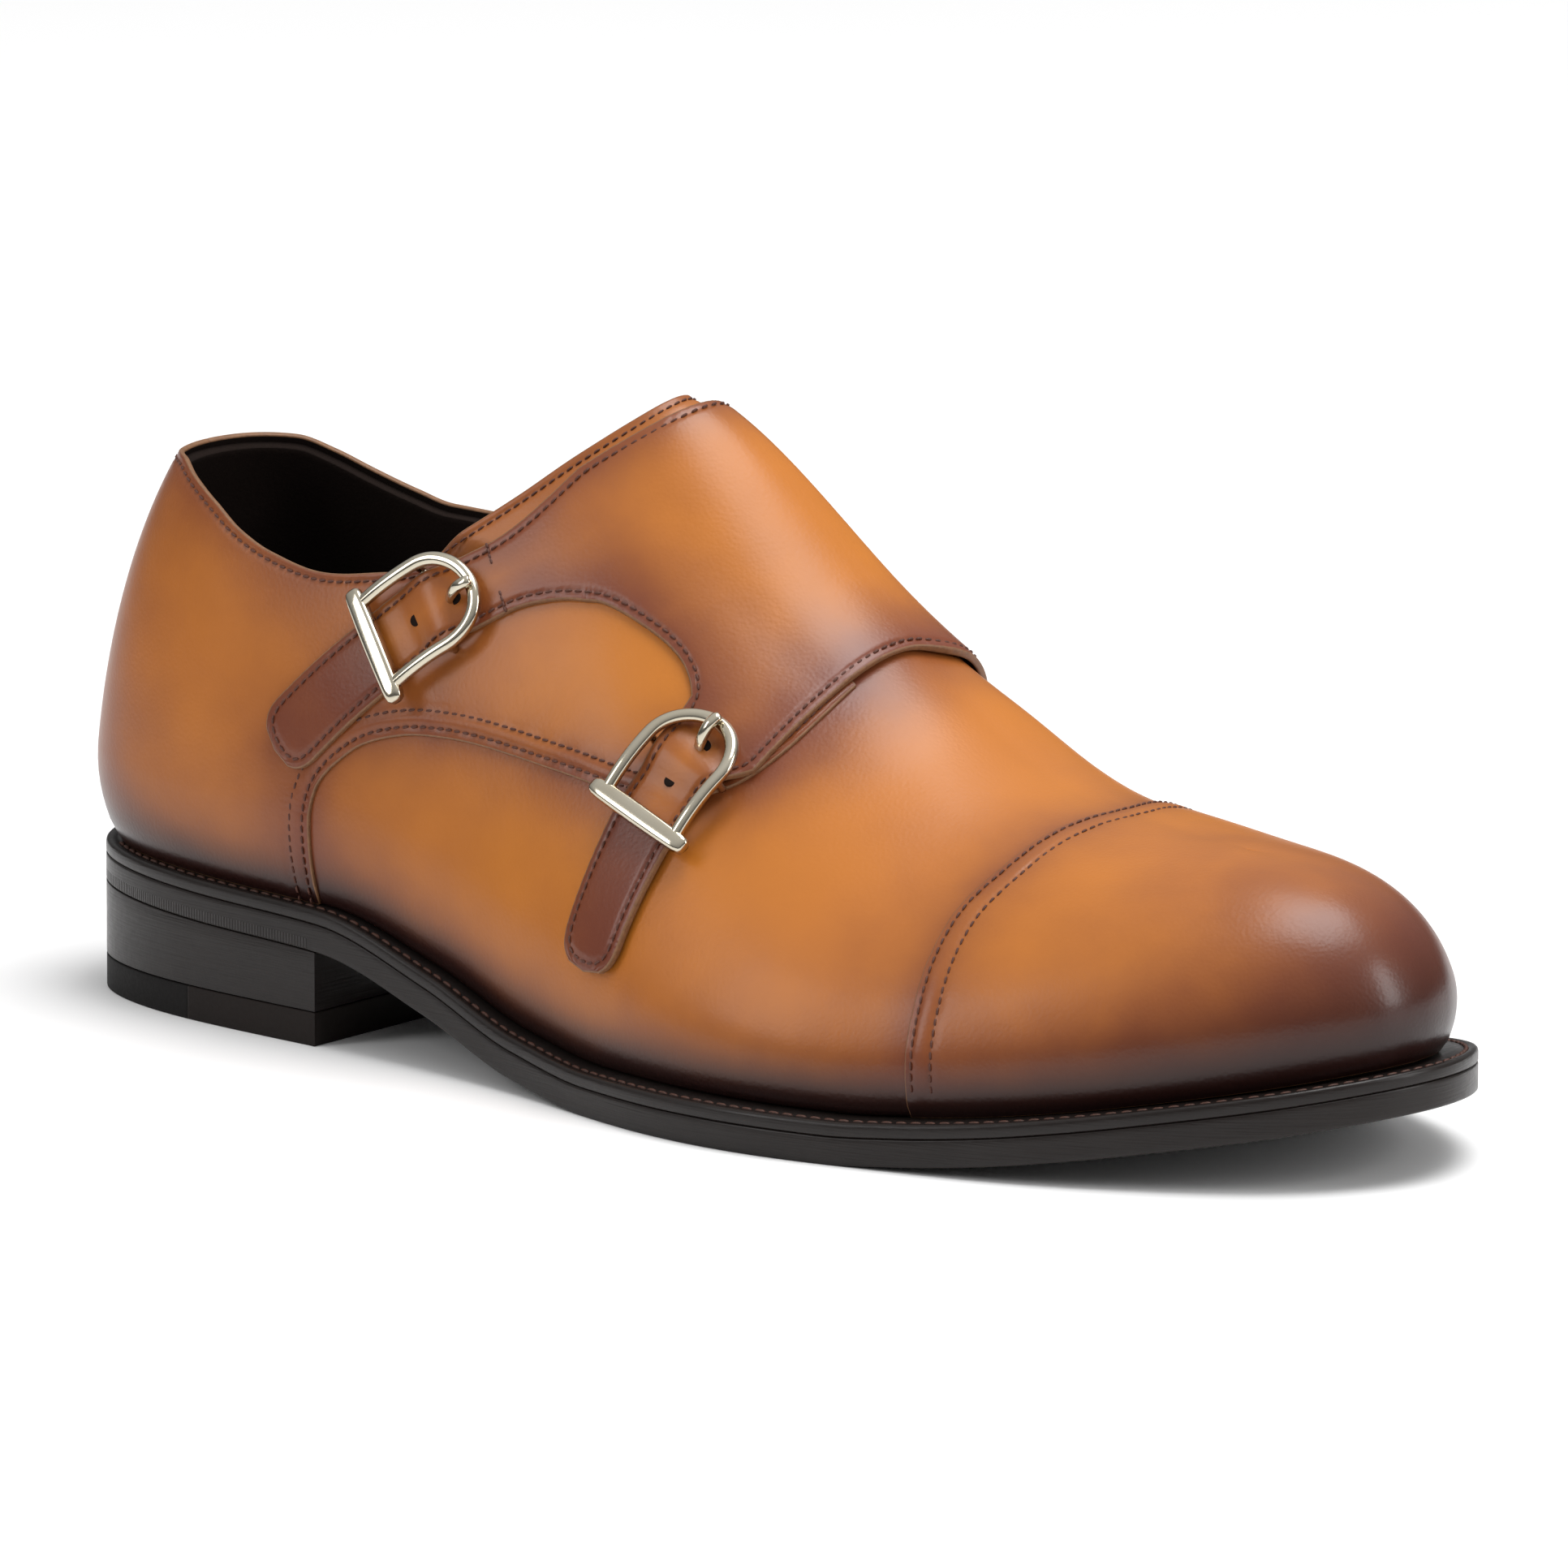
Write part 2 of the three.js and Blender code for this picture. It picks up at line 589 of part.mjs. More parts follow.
// Places on a buckle are measured from the middle of its end bar: p towards the round front,
// q sideways, h above the upper.
function onBuckle(strap, p, q, h) {
  return strapLines[strap].over(STRAPS[strap].endBar - p, q, h);
}
function buckleFrame(strap) {
  const { length, halfWidth, wire, endBar, endBarHalf, centreBar, height } = BUCKLE;
  const bend = length - wire - halfWidth;
  const bow = [];
  for (const p of steps(0, bend, 4)) bow.push([p, -halfWidth]);
  for (const angle of steps(0, Math.PI, 10).slice(1, -1))
    bow.push([bend + halfWidth * Math.sin(angle), -halfWidth * Math.cos(angle)]);
  for (const p of steps(bend, 0, 4)) bow.push([p, halfWidth]);
  const bowCurve = new THREE.CatmullRomCurve3(
    bow.map(([p, q]) => onBuckle(strap, p, q, height)), false, "centripetal");
  let solid = toSolid(barAlong(bowCurve, wire, 28, 8));

  const barCurve = new THREE.LineCurve3(
    onBuckle(strap, 0, -endBarHalf, height), onBuckle(strap, 0, endBarHalf, height));
  solid = solid.add(toSolid(barAlong(barCurve, endBar, 1)));

  const place = BUCKLE.centreBarPlace;
  const low = centreBar + GAP;
  const bar = [
    [-halfWidth, height], [-halfWidth + 0.4, low + 1], [-halfWidth + 1.3, low], [0, low],
    [halfWidth - 1.3, low], [halfWidth - 0.4, low + 1], [halfWidth, height],
  ];
  const centreCurve = new THREE.CatmullRomCurve3(
    bar.map(([q, h]) => onBuckle(strap, place, q, h)), false, "centripetal");
  solid = solid.add(toSolid(barAlong(centreCurve, centreBar, 16, 8)));
  return toGeometry(solid);
}
// From the centre bar up through its hole in the strap, to lie on the front of the frame.
function prongCurve(strap) {
  const { centreBar, centreBarPlace, holePlace, length, wire, height, prong } = BUCKLE;
  const rest = height + wire + GAP + prong;
  const path = [
    [centreBarPlace + centreBar + 0.4, centreBar + GAP], [holePlace - 1, 2.4],
    [holePlace + 0.6, height + 0.8], [holePlace + 2.6, rest - 0.3], [length - 1.2, rest],
    [length + 0.4, rest - 0.2],
  ];
  return new THREE.CatmullRomCurve3(
    path.map(([p, h]) => onBuckle(strap, p, 0, h)), false, "centripetal");
}
function buckleProng(strap) {
  return barAlong(prongCurve(strap), BUCKLE.prong, 14, 8);
}

// ---- Assembly -------------------------------------------------------------------------------

const MATERIALS = {
  calf: { color: 0xb5662b, roughness: 0.35, metalness: 0 },
  strap: { color: 0xa85f2e, roughness: 0.38, metalness: 0 },
  lining: { color: 0x2a1a14, roughness: 0.9, metalness: 0 },
  edge: { color: 0x2f2320, roughness: 0.42, metalness: 0 },
  rubber: { color: 0x2b221f, roughness: 0.6, metalness: 0 },
  nickel: { color: 0xd9cdb4, roughness: 0.16, metalness: 1 },
};

const shoe = new THREE.Group();
function addPiece(name, geometry, material) {
  const mesh = new THREE.Mesh(geometry, new THREE.MeshStandardMaterial(MATERIALS[material]));
  mesh.name = name;
  shoe.add(mesh);
}
addPiece("outsole", outsole(), "edge");
addPiece("welt", welt(), "edge");
addPiece("heel_stack", heelStack(), "edge");
addPiece("top_lift", topLift(), "rubber");
addPiece("insole", insole(), "lining");
addPiece("upper", upper(), "calf");
addPiece("tongue", tongue(), "calf");
addPiece("monk_flap", monkFlap(), "strap");
for (const strap of ["upper", "lower"]) {
  addPiece("buckle_frame_" + strap, buckleFrame(strap), "nickel");
  addPiece("buckle_prong_" + strap, buckleProng(strap), "nickel");
}

// The origin is the middle of the shoe's footprint, on the floor.
const box = new THREE.Box3().setFromObject(shoe);
const middle = box.getCenter(new THREE.Vector3());
shoe.position.set(-middle.x, -middle.y, -box.min.z);

export default shoe;
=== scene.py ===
"""A right double monk strap shoe in burnished calf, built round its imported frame.

Lengths inside the form's functions are millimetres from the back of the heel, with +X to the
toe, +Z up and the outer side on -Y. Meshes are written in metres, in the frame's own place.
"""

import math

import bmesh
import bpy
import numpy as np
from bpy.props import FloatProperty, FloatVectorProperty, PointerProperty
from bpy.types import Operator, Panel, PropertyGroup
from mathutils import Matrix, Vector, kdtree


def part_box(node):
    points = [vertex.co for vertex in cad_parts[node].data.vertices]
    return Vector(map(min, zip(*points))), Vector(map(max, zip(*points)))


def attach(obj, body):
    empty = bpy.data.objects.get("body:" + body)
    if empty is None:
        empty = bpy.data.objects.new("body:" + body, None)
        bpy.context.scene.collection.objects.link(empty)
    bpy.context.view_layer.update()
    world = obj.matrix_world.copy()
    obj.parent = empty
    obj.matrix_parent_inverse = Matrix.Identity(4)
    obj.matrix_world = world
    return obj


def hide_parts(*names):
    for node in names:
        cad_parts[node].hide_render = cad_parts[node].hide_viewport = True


bl_info = {
    "name": "Double monk strap shoe",
    "version": (1, 0, 0),
    "blender": (4, 5, 0),
    "location": "3D View > Sidebar > Shoe",
    "description": "Builds a burnished calf double monk strap shoe on its frame",
    "category": "Add Mesh",
}

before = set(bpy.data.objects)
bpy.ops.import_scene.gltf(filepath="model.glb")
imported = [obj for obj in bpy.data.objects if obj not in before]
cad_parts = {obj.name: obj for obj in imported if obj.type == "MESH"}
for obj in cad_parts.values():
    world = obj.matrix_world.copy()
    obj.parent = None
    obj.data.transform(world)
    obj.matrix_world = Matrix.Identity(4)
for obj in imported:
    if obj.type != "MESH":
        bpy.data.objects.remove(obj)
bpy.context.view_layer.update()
MM = 0.001

# ---- The last --------------------------------------------------------------------------------

# A row for each station from the back of the heel to the tip of the toe. Half widths are of
# the upper, spine is the ridge above, full the squareness of each side, lean how far the
# lateral side falls inwards, and tuck how far it draws in at the welt, over that rise.
LAST_COLUMNS = (
    "x lateral medial spine_x spine_y spine_z full_lateral full_medial lean "
    "tuck_lateral tuck_medial rise"
).split()
LAST = [
    [-1.5, 0, 0, 45, 0, 124, 0.5, 0.5, 0, 4.5, 4.5, 18],
    [3, 18, 17.3, 46, 0, 124, 0.5, 0.5, 0, 4.5, 4.5, 18],
    [15, 29, 28.5, 49, 0, 124, 0.5, 0.5, 0, 4.5, 4.5, 18],
    [36, 35, 34, 56, 0.5, 124.5, 0.5, 0.5, 0.08, 4, 4, 18],
    [68, 38.5, 33.5, 75, 3, 126, 0.5, 0.48, 0.25, 3.5, 4.5, 20],
    [100, 41.5, 30.5, 103, 7, 126, 0.5, 0.47, 0.42, 4, 6, 24],
    [132, 48, 31.5, 131, 10, 115.7, 0.5, 0.46, 0.5, 4, 6.5, 24],
    [162, 55.5, 38.5, 160, 11, 90.7, 0.5, 0.45, 0.5, 3.5, 5, 20],
    [190, 57, 45, 186, 10, 72.2, 0.49, 0.44, 0.38, 3, 3.5, 15],
    [215, 53, 47, 208, 8, 60.3, 0.47, 0.44, 0.22, 3, 3, 14],
    [240, 47, 45, 228, 5, 56.5, 0.45, 0.43, 0.1, 3, 3, 14],
    [262, 39, 38.5, 243, 3, 55, 0.43, 0.42, 0.03, 3, 3, 14],
    [281, 28, 28.5, 252.5, 1, 54.7, 0.41, 0.41, 0, 3, 3, 14],
    [294, 15.3, 15.8, 257, 0, 54.5, 0.41, 0.41, 0, 3.5, 3.5, 14],
    [299.3, 0, 0, 258, 0, 54.3, 0.41, 0.41, 0, 3.5, 3.5, 14],
]
STATIONS = len(LAST) - 1
AROUND = 2 * STATIONS

# Edge of the sole at the same stations: x, lateral half width, medial half width.
SOLE_EDGE_ROWS = [
    [0, 0, 0], [4.3, 17.8, 17.5], [16.5, 28.5, 29.5], [37, 35, 35], [68, 38.8, 34.5],
    [100, 42.5, 32.5], [132, 49.8, 34], [162, 58.5, 41], [190, 60.8, 49], [216, 57, 52],
    [242, 51, 49.5], [266, 41.5, 41.5], [286, 29.7, 30], [298, 15.5, 15.8], [302.5, 0, 0],
]

# Height of the sole's underside along the shoe.
UNDERSIDE_ROWS = [
    [0, 20.8], [40, 19], [72, 17.8], [100, 10.4], [125, 2.6], [148, 0], [206, 0],
    [220, 0.8], [235, 2.3], [252, 4.7], [268, 7.4], [285, 10.4], [303, 13.8],
]

SOLE_EDGE = 8.0  # outsole and welt together
GAP = 0.3
HEEL_STATION = 4.12
TOP_LIFT = 6.4
RUBBER_LENGTH = 38  # the rubber of the top lift, from the back; the rest is leather

# The opening of the upper: station, lateral and medial girth place (1 welt, 0 ridge).
OPENING_ROWS = [
    [0, 0.345, 0.345], [0.6, 0.345, 0.345], [1.6, 0.338, 0.348], [2.2, 0.355, 0.368],
    [2.7, 0.38, 0.395], [3.1, 0.415, 0.418], [3.4, 0.438, 0.433], [3.85, 0.458, 0.433],
    [4.3, 0.44, 0.41], [4.8, 0.38, 0.34], [5.4, 0.3, 0.25], [6, 0.22, 0.17],
    [6.5, 0.13, 0.1], [6.9, 0, 0],
]
THROAT_STATION = 6.9

# Seams and edges as (station, girth place), negative on the lateral side.
QUARTER_SEAM = {
    "lateral": [
        (4.045, -0.85), (4.06, -0.82), (4.11, -0.785), (4.24, -0.745), (4.39, -0.71),
        (4.62, -0.677), (4.85, -0.655), (5.22, -0.633), (5.59, -0.615), (5.98, -0.6),
        (6.4, -0.58), (6.75, -0.545), (7.0, -0.49), (7.16, -0.435), (7.29, -0.354),
        (7.38, -0.26), (7.44, -0.171),
    ],
    "medial": [
        (4.045, 0.85), (4.06, 0.82), (4.11, 0.785), (4.24, 0.745), (4.39, 0.71),
        (4.62, 0.677), (4.85, 0.655), (5.22, 0.633), (5.59, 0.62), (5.98, 0.61),
        (6.4, 0.6), (6.7, 0.588), (6.87, 0.565), (6.98, 0.5), (7.06, 0.42), (7.14, 0.3),
        (7.2, 0.2),
    ],
}
QUARTER_BACK = (4.045, 0.85)  # the seam runs straight down to the welt from here
CAP_SEAM = [
    (9.2, -1.0), (9.19, -0.91), (9.17, -0.77), (9.16, -0.64), (9.21, -0.51),
    (9.36, -0.385), (9.49, -0.26), (9.65, -0.13), (9.8, 0.0), (9.65, 0.13), (9.49, 0.26),
    (9.36, 0.385), (9.21, 0.51), (9.16, 0.64), (9.17, 0.77), (9.19, 0.91), (9.2, 1.0),
]
FLAP_TOP_EDGE = [
    (4.75, 0.38), (5.1, 0.27), (5.45, 0.16), (5.72, 0.07), (5.81, 0), (5.66, -0.086),
    (5.34, -0.195),
]
FLAP_FRONT_EDGE = [
    (6.95, 0.56), (7.25, 0.43), (7.47, 0.25), (7.6, 0.08), (7.5, -0.05), (7.37, -0.21),
    (7.18, -0.428),
]
ARC_BETWEEN_STRAPS = [
    (5.7, -0.364), (5.79, -0.355), (5.9, -0.35), (6.09, -0.346), (6.29, -0.344),
    (6.44, -0.35), (6.54, -0.366), (6.6, -0.386),
]
TONGUE_EDGE = [
    (4.3, -0.47), (4.44, -0.42), (4.63, -0.36), (4.83, -0.305), (5.02, -0.25),
    (5.2, -0.19), (5.38, -0.13), (5.56, -0.06), (5.64, 0.0), (5.56, 0.06), (5.36, 0.13),
    (5.02, 0.25), (4.63, 0.36), (4.44, 0.41),
]
STRAP_MIDDLES = {
    "upper": [
        (5.545, -0.28), (5.3, -0.342), (5.08, -0.393), (4.86, -0.442), (4.62, -0.5),
        (4.41, -0.565), (4.12, -0.65), (3.92, -0.712), (3.79, -0.752),
    ],
    "lower": [
        (6.88, -0.404), (6.8, -0.46), (6.72, -0.52), (6.64, -0.59), (6.59, -0.655),
        (6.54, -0.72), (6.49, -0.785), (6.45, -0.85),
    ],
}
END_BAR_PLACE = {"upper": 45, "lower": 22}  # along the strap, from its root
CENTRE_BAR_PLACE = 13.5  # from the end bar
HOLE_PLACE = 18
SPARE_HOLE_PLACE = 9
BUCKLE_HEIGHT = 4.6

# Heights above the form, low and high, of each layer of leather.
SHELL = (-2.0, 0.0)
OVERLAY = (-0.15, 0.95)
CAP = (-0.15, 0.8)
FLAP = (0.6, 2.3)
TONGUE = (-2.2, -0.4)
FLAP_SINK = 1.5  # how far the flap's end goes down into the medial quarter

THREAD_SINK = 0.1  # the middle of a stitch lies this far under the leather's face
STITCH_SLANT = math.radians(6)
FURROW_WIDTH = 0.6
TONGUE_INSET = 1.4  # of its stitches from its edge
CAP_ROWS = (1.1, 5.0)  # of stitches, from the cap's seam

OUTSOLE_TOP = 5.25  # over its underside, and a little under the welt
WELT_LOW = 5.3
FEATHER = 2.1  # how far the welt's lip reaches in under the upper

STRAP_WIDTH = 14.0
STRAP_HALF = STRAP_WIDTH / 2
ROOT_BLEND = {"upper": 18, "lower": 12}  # this far along, a strap leaves the flap's end
BUCKLE_ARCH = 22  # the length over which a buckle follows its strap
HUMP_REACH, HUMP_HEIGHT = 7, 1.75  # the strap's rise over the centre bar


# ---- Curves ----------------------------------------------------------------------------------


def through_rows(rows, column=1):
    """A smooth function through the rows, which doesn't overshoot them."""
    x = np.array([r[0] for r in rows], float)
    y = np.array([r[column] for r in rows], float)
    slope = np.diff(y) / np.diff(x)
    product = slope[:-1] * slope[1:]
    total = slope[:-1] + slope[1:]
    inner = np.where(product <= 0, 0, 2 * product / np.where(total == 0, 1, total))
    tangent = np.concatenate([[slope[0]], inner, [slope[-1]]])

    def at(value):
        value = np.clip(np.asarray(value, float), x[0], x[-1])
        i = np.clip(np.searchsorted(x, value, side="right") - 1, 0, len(x) - 2)
        span = x[i + 1] - x[i]
        f = (value - x[i]) / span
        return (
            y[i] * (1 + 2 * f) * (1 - f) ** 2
            + y[i + 1] * f * f * (3 - 2 * f)
            + span * (tangent[i] * f * (1 - f) ** 2 - tangent[i + 1] * f * f * (1 - f))
        )

    return at


def round_the_foot(lateral, medial):
    """A smooth closed curve round the foot: lateral side to the toe, medial side back."""
    values = np.array(list(lateral) + list(medial)[-2:0:-1], float)
    controls = values.copy()
    for _ in range(60):
        fitted = (np.roll(controls, 1) + 4 * controls + np.roll(controls, -1)) / 6
        controls = controls + values - fitted

    def at(t):
        t = np.asarray(t, float)
        i = np.floor(t).astype(int)
        f = t - i
        c = [controls[(i + k) % AROUND] for k in (-1, 0, 1, 2)]
        return (
            (1 - f) ** 3 * c[0]
            + (3 * f**3 - 6 * f * f + 4) * c[1]
            + (3 * f * (1 + f - f * f) + 1) * c[2]
            + f**3 * c[3]
        ) / 6

    return at


def column(name):
    return np.array([row[LAST_COLUMNS.index(name)] for row in LAST], float)


def smooth_curve(places, steps):
    """Points of a curve through pattern places."""
    p = np.array(places, float)
    at = np.asarray(steps, float) * (len(p) - 1)
    i = np.clip(np.floor(at).astype(int), 0, len(p) - 2)
    w = (at - i)[:, None]
    a, b, c, d = p[np.maximum(i - 1, 0)], p[i], p[i + 1], p[np.minimum(i + 2, len(p) - 1)]
    va, vb = (c - a) / 2, (d - b) / 2
    return (
        (2 * b - 2 * c + va + vb) * w**3 + (-3 * b + 3 * c - 2 * va - vb) * w**2 + va * w + b
    )


def smoothstep(low, high, value):
    f = np.clip((value - low) / (high - low), 0, 1)
    return f * f * (3 - 2 * f)


def unit(v):
    return v / np.maximum(np.linalg.norm(v, axis=-1, keepdims=True), 1e-12)


underside = through_rows(UNDERSIDE_ROWS)
opening_lateral = through_rows(OPENING_ROWS, 1)
opening_medial = through_rows(OPENING_ROWS, 2)
last_x = round_the_foot(column("x"), column("x"))
last_y = round_the_foot(-column("lateral"), column("medial"))
spine_x = round_the_foot(column("spine_x"), column("spine_x"))
spine_y = round_the_foot(column("spine_y"), column("spine_y"))
spine_z = round_the_foot(column("spine_z"), column("spine_z"))
last_full = round_the_foot(column("full_lateral"), column("full_medial"))
last_lean = round_the_foot(column("lean"), 0 * column("lean"))
last_tuck = round_the_foot(column("tuck_lateral"), column("tuck_medial"))
last_rise = round_the_foot(column("rise"), column("rise"))
sole_x = round_the_foot([r[0] for r in SOLE_EDGE_ROWS], [r[0] for r in SOLE_EDGE_ROWS])
sole_y = round_the_foot([-r[1] for r in SOLE_EDGE_ROWS], [r[2] for r in SOLE_EDGE_ROWS])


def on_last(t, phi):
    """Points at place t round the foot and angle phi from the welt up to the spine."""
    fx, fy = last_x(t), last_y(t)
    sx, sy, sz = spine_x(t), spine_y(t), spine_z(t)
    welt = underside(fx) + SOLE_EDGE + GAP
    sine = np.sin(phi)
    power = 2 * last_full(t)
    out = np.maximum(np.cos(phi), 0) ** power * (1 - last_lean(t) * sine * sine)
    z = welt + (sz - welt) * sine**power
    low = np.maximum(1 - (z - welt) / last_rise(t), 0)
    reach = out - last_tuck(t) * low * low / np.hypot(fx - sx, fy - sy)
    return np.stack([sx + (fx - sx) * reach, sy + (fy - sy) * reach, z], -1)


GIRTH_STEPS = 160
TABLE_T = np.linspace(0, AROUND, AROUND * 10 + 1)


def girth_table():
    """The girth at each place of TABLE_T, and the angles at equal shares of it."""
    angles = np.linspace(0, math.pi / 2, 321)
    steps = np.diff(on_last(TABLE_T[:, None], angles[None, :]), axis=1)
    lengths = np.pad(np.linalg.norm(steps, axis=2).cumsum(1), ((0, 0), (1, 0)))
    shares = [np.interp(np.linspace(0, row[-1], GIRTH_STEPS + 1), row, angles) for row in lengths]
    return lengths[:, -1], np.array(shares)


GIRTH, ANGLES = girth_table()


def side_of(u, v):
    """(place round the foot, share of the girth up from the welt) of pattern places."""
    return np.where(v <= 0, u, AROUND - u), np.clip(1 - np.abs(v), 0, 1)


def form(u, v, h=0.0):
    """Points h above the form at pattern places (station, girth place)."""
    u, v = np.broadcast_arrays(np.asarray(u, float), np.asarray(v, float))
    t, up = side_of(u, v)
    a = np.mod(t, AROUND) * 10
    b = up * GIRTH_STEPS
    i = np.clip(a.astype(int), 0, len(ANGLES) - 2)
    j = np.clip(b.astype(int), 0, GIRTH_STEPS - 1)
    fa, fb = a - i, b - j
    phi = (ANGLES[i, j] * (1 - fb) + ANGLES[i, j + 1] * fb) * (1 - fa) + (
        ANGLES[i + 1, j] * (1 - fb) + ANGLES[i + 1, j + 1] * fb
    ) * fa
    points = on_last(t, phi)
    if np.any(h):
        points = points + np.asarray(h)[..., None] * form_normal(u, v)
    return points


RIDGE = 0.05  # this near to the ridge, where stations meet, its two sides are blended


def side_normal(u, v, step=0.006):
    along = form(u + step, v) - form(u - step, v)
    over = form(u, np.clip(v + step, -1, 1)) - form(u, np.clip(v - step, -1, 1))
    return unit(np.cross(along, over))


def form_normal(u, v):
    """The way out of the form at pattern places."""
    u, v = np.broadcast_arrays(np.asarray(u, float), np.asarray(v, float))
    if not np.any(np.abs(v) < RIDGE):
        return side_normal(u, v)
    share = np.clip(v / RIDGE / 2 + 0.5, 0, 1)[..., None]
    lateral = side_normal(u, np.minimum(v, -RIDGE))
    medial = side_normal(u, np.maximum(v, RIDGE))
    return unit(lateral * (1 - share) + medial * share)


def girth_length(u, v):
    """Millimetres of girth from the welt to the ridge at a place."""
    t, _ = side_of(np.asarray(u, float), np.asarray(v, float))
    return np.interp(np.mod(t, AROUND), TABLE_T, GIRTH)


def to_places(targets, places, passes=4):
    """The pattern places nearest to points in space, from a first guess."""
    places = np.array(places, float)
    d = 0.004
    for _ in range(passes):
        u, v = places[..., 0], places[..., 1]
        a = (form(u + d, v) - form(u - d, v)) / (2 * d)
        b = (form(u, v + d) - form(u, v - d)) / (2 * d)
        move = targets - form(u, v)
        aa, ab, bb = (a * a).sum(-1), (a * b).sum(-1), (b * b).sum(-1)
        am, bm = (a * move).sum(-1), (b * move).sum(-1)
        area = np.maximum(aa * bb - ab * ab, 1e-6)
        places[..., 0] += (am * bb - bm * ab) / area
        places[..., 1] += (bm * aa - am * ab) / area
        places[..., 1] = np.clip(places[..., 1], -0.999, 0.999)
    return places


def arc_length(points):
    return np.concatenate([[0], np.linalg.norm(np.diff(points, axis=0), axis=1).cumsum()])


def rows_at(at, length, rows):
    """A table read between its rows, at values of the rows' lengths."""
    return np.stack([np.interp(at, length, column) for column in rows.T], -1)


def smooth_points(points, count):
    """Points of a smooth curve through points in space, at equal steps of length."""
    dense = smooth_curve(points, np.linspace(0, 1, count * 6))
    length = arc_length(dense)
    return rows_at(np.linspace(0, length[-1], count), length, dense)


def resample(places, pitch):
    """The same path with places at equal steps of about pitch millimetres."""
    places = np.asarray(places, float)
    length = arc_length(form(places[:, 0], places[:, 1]))
    count = max(int(round(length[-1] / pitch)), 2)
    at = np.linspace(0, length[-1], count + 1)
    return rows_at(at, length, places)


def path(places, pitch=1.0):
    """A smooth path through pattern places, at equal steps of about pitch millimetres."""
    return resample(smooth_curve(places, np.linspace(0, 1, 30 * len(places))), pitch)


def beside(places, distance):
    """A path moved to its left, seen from outside the shoe, by a distance."""
    points = form(places[:, 0], places[:, 1])
    tangent = unit(np.gradient(points, axis=0))
    left = np.cross(form_normal(places[:, 0], places[:, 1]), tangent)
    moved = to_places(points + left * distance, places)
    for _ in range(6):  # rounds off the turns
        moved[1:-1] = moved[1:-1] / 2 + (moved[:-2] + moved[2:]) / 4
    return moved


def nearest(points, targets):
    """For each point, the distance to its nearest target and that target's number."""
    tree = kdtree.KDTree(len(targets))
    for i, target in enumerate(targets):
        tree.insert(target, i)
    tree.balance()
    found = [tree.find(p) for p in points]
    return np.array([f[2] for f in found]), np.array([f[1] for f in found])


def distance_to(points, *paths):
    """Distance of each point to the nearest of the paths, given as pattern places."""
    return nearest(points, np.concatenate([form(p[:, 0], p[:, 1]) for p in paths]))[0]


def graded(length, fine=0.45, band=5.5, coarse=1.9, ends=(True, True)):
    """Shares from 0 to 1 of a length, with fine steps next to the ends."""
    marks = [0.0]
    near = min(band, 0.42 * length)
    if ends[0]:
        marks += list(np.linspace(0, near, max(int(near / fine), 2) + 1)[1:])
    stop = length - near if ends[1] else length
    count = max(int((stop - marks[-1]) / coarse), 1)
    marks += list(np.linspace(marks[-1], stop, count + 1)[1:])
    if ends[1]:
        marks += list(np.linspace(stop, length, max(int(near / fine), 2) + 1)[1:])
    return np.array(marks) / length


# ---- Meshes ----------------------------------------------------------------------------------

# Where the form's zero lies in the frame.
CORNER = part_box("outsole")[0]
WIDEST = float(sole_y(np.linspace(0, AROUND, 6 * STATIONS + 1)).min())
ORIGIN = np.array([CORNER.x, CORNER.y - WIDEST * MM, CORNER.z])


def add_mask(mesh, name, values):
    attribute = mesh.attributes.new(name, "FLOAT", "POINT")
    attribute.data.foreach_set("value", np.asarray(values, np.float32))


def piece(name, points, faces, materials, face_material=None, masks=None):
    """A mesh object from points in millimetres, riding on the shoe."""
    mesh = bpy.data.meshes.new(name)
    mesh.from_pydata((np.asarray(points) * MM + ORIGIN).tolist(), [], faces)
    mesh.shade_smooth()
    for material in materials:
        mesh.materials.append(material)
    if face_material is not None:
        mesh.polygons.foreach_set("material_index", np.asarray(face_material, np.int32))
    for mask, values in (masks or {}).items():
        add_mask(mesh, mask, values)
    mesh.update()
    obj = bpy.data.objects.new(name, mesh)
    bpy.context.scene.collection.objects.link(obj)
    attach(obj, "root")
    return obj


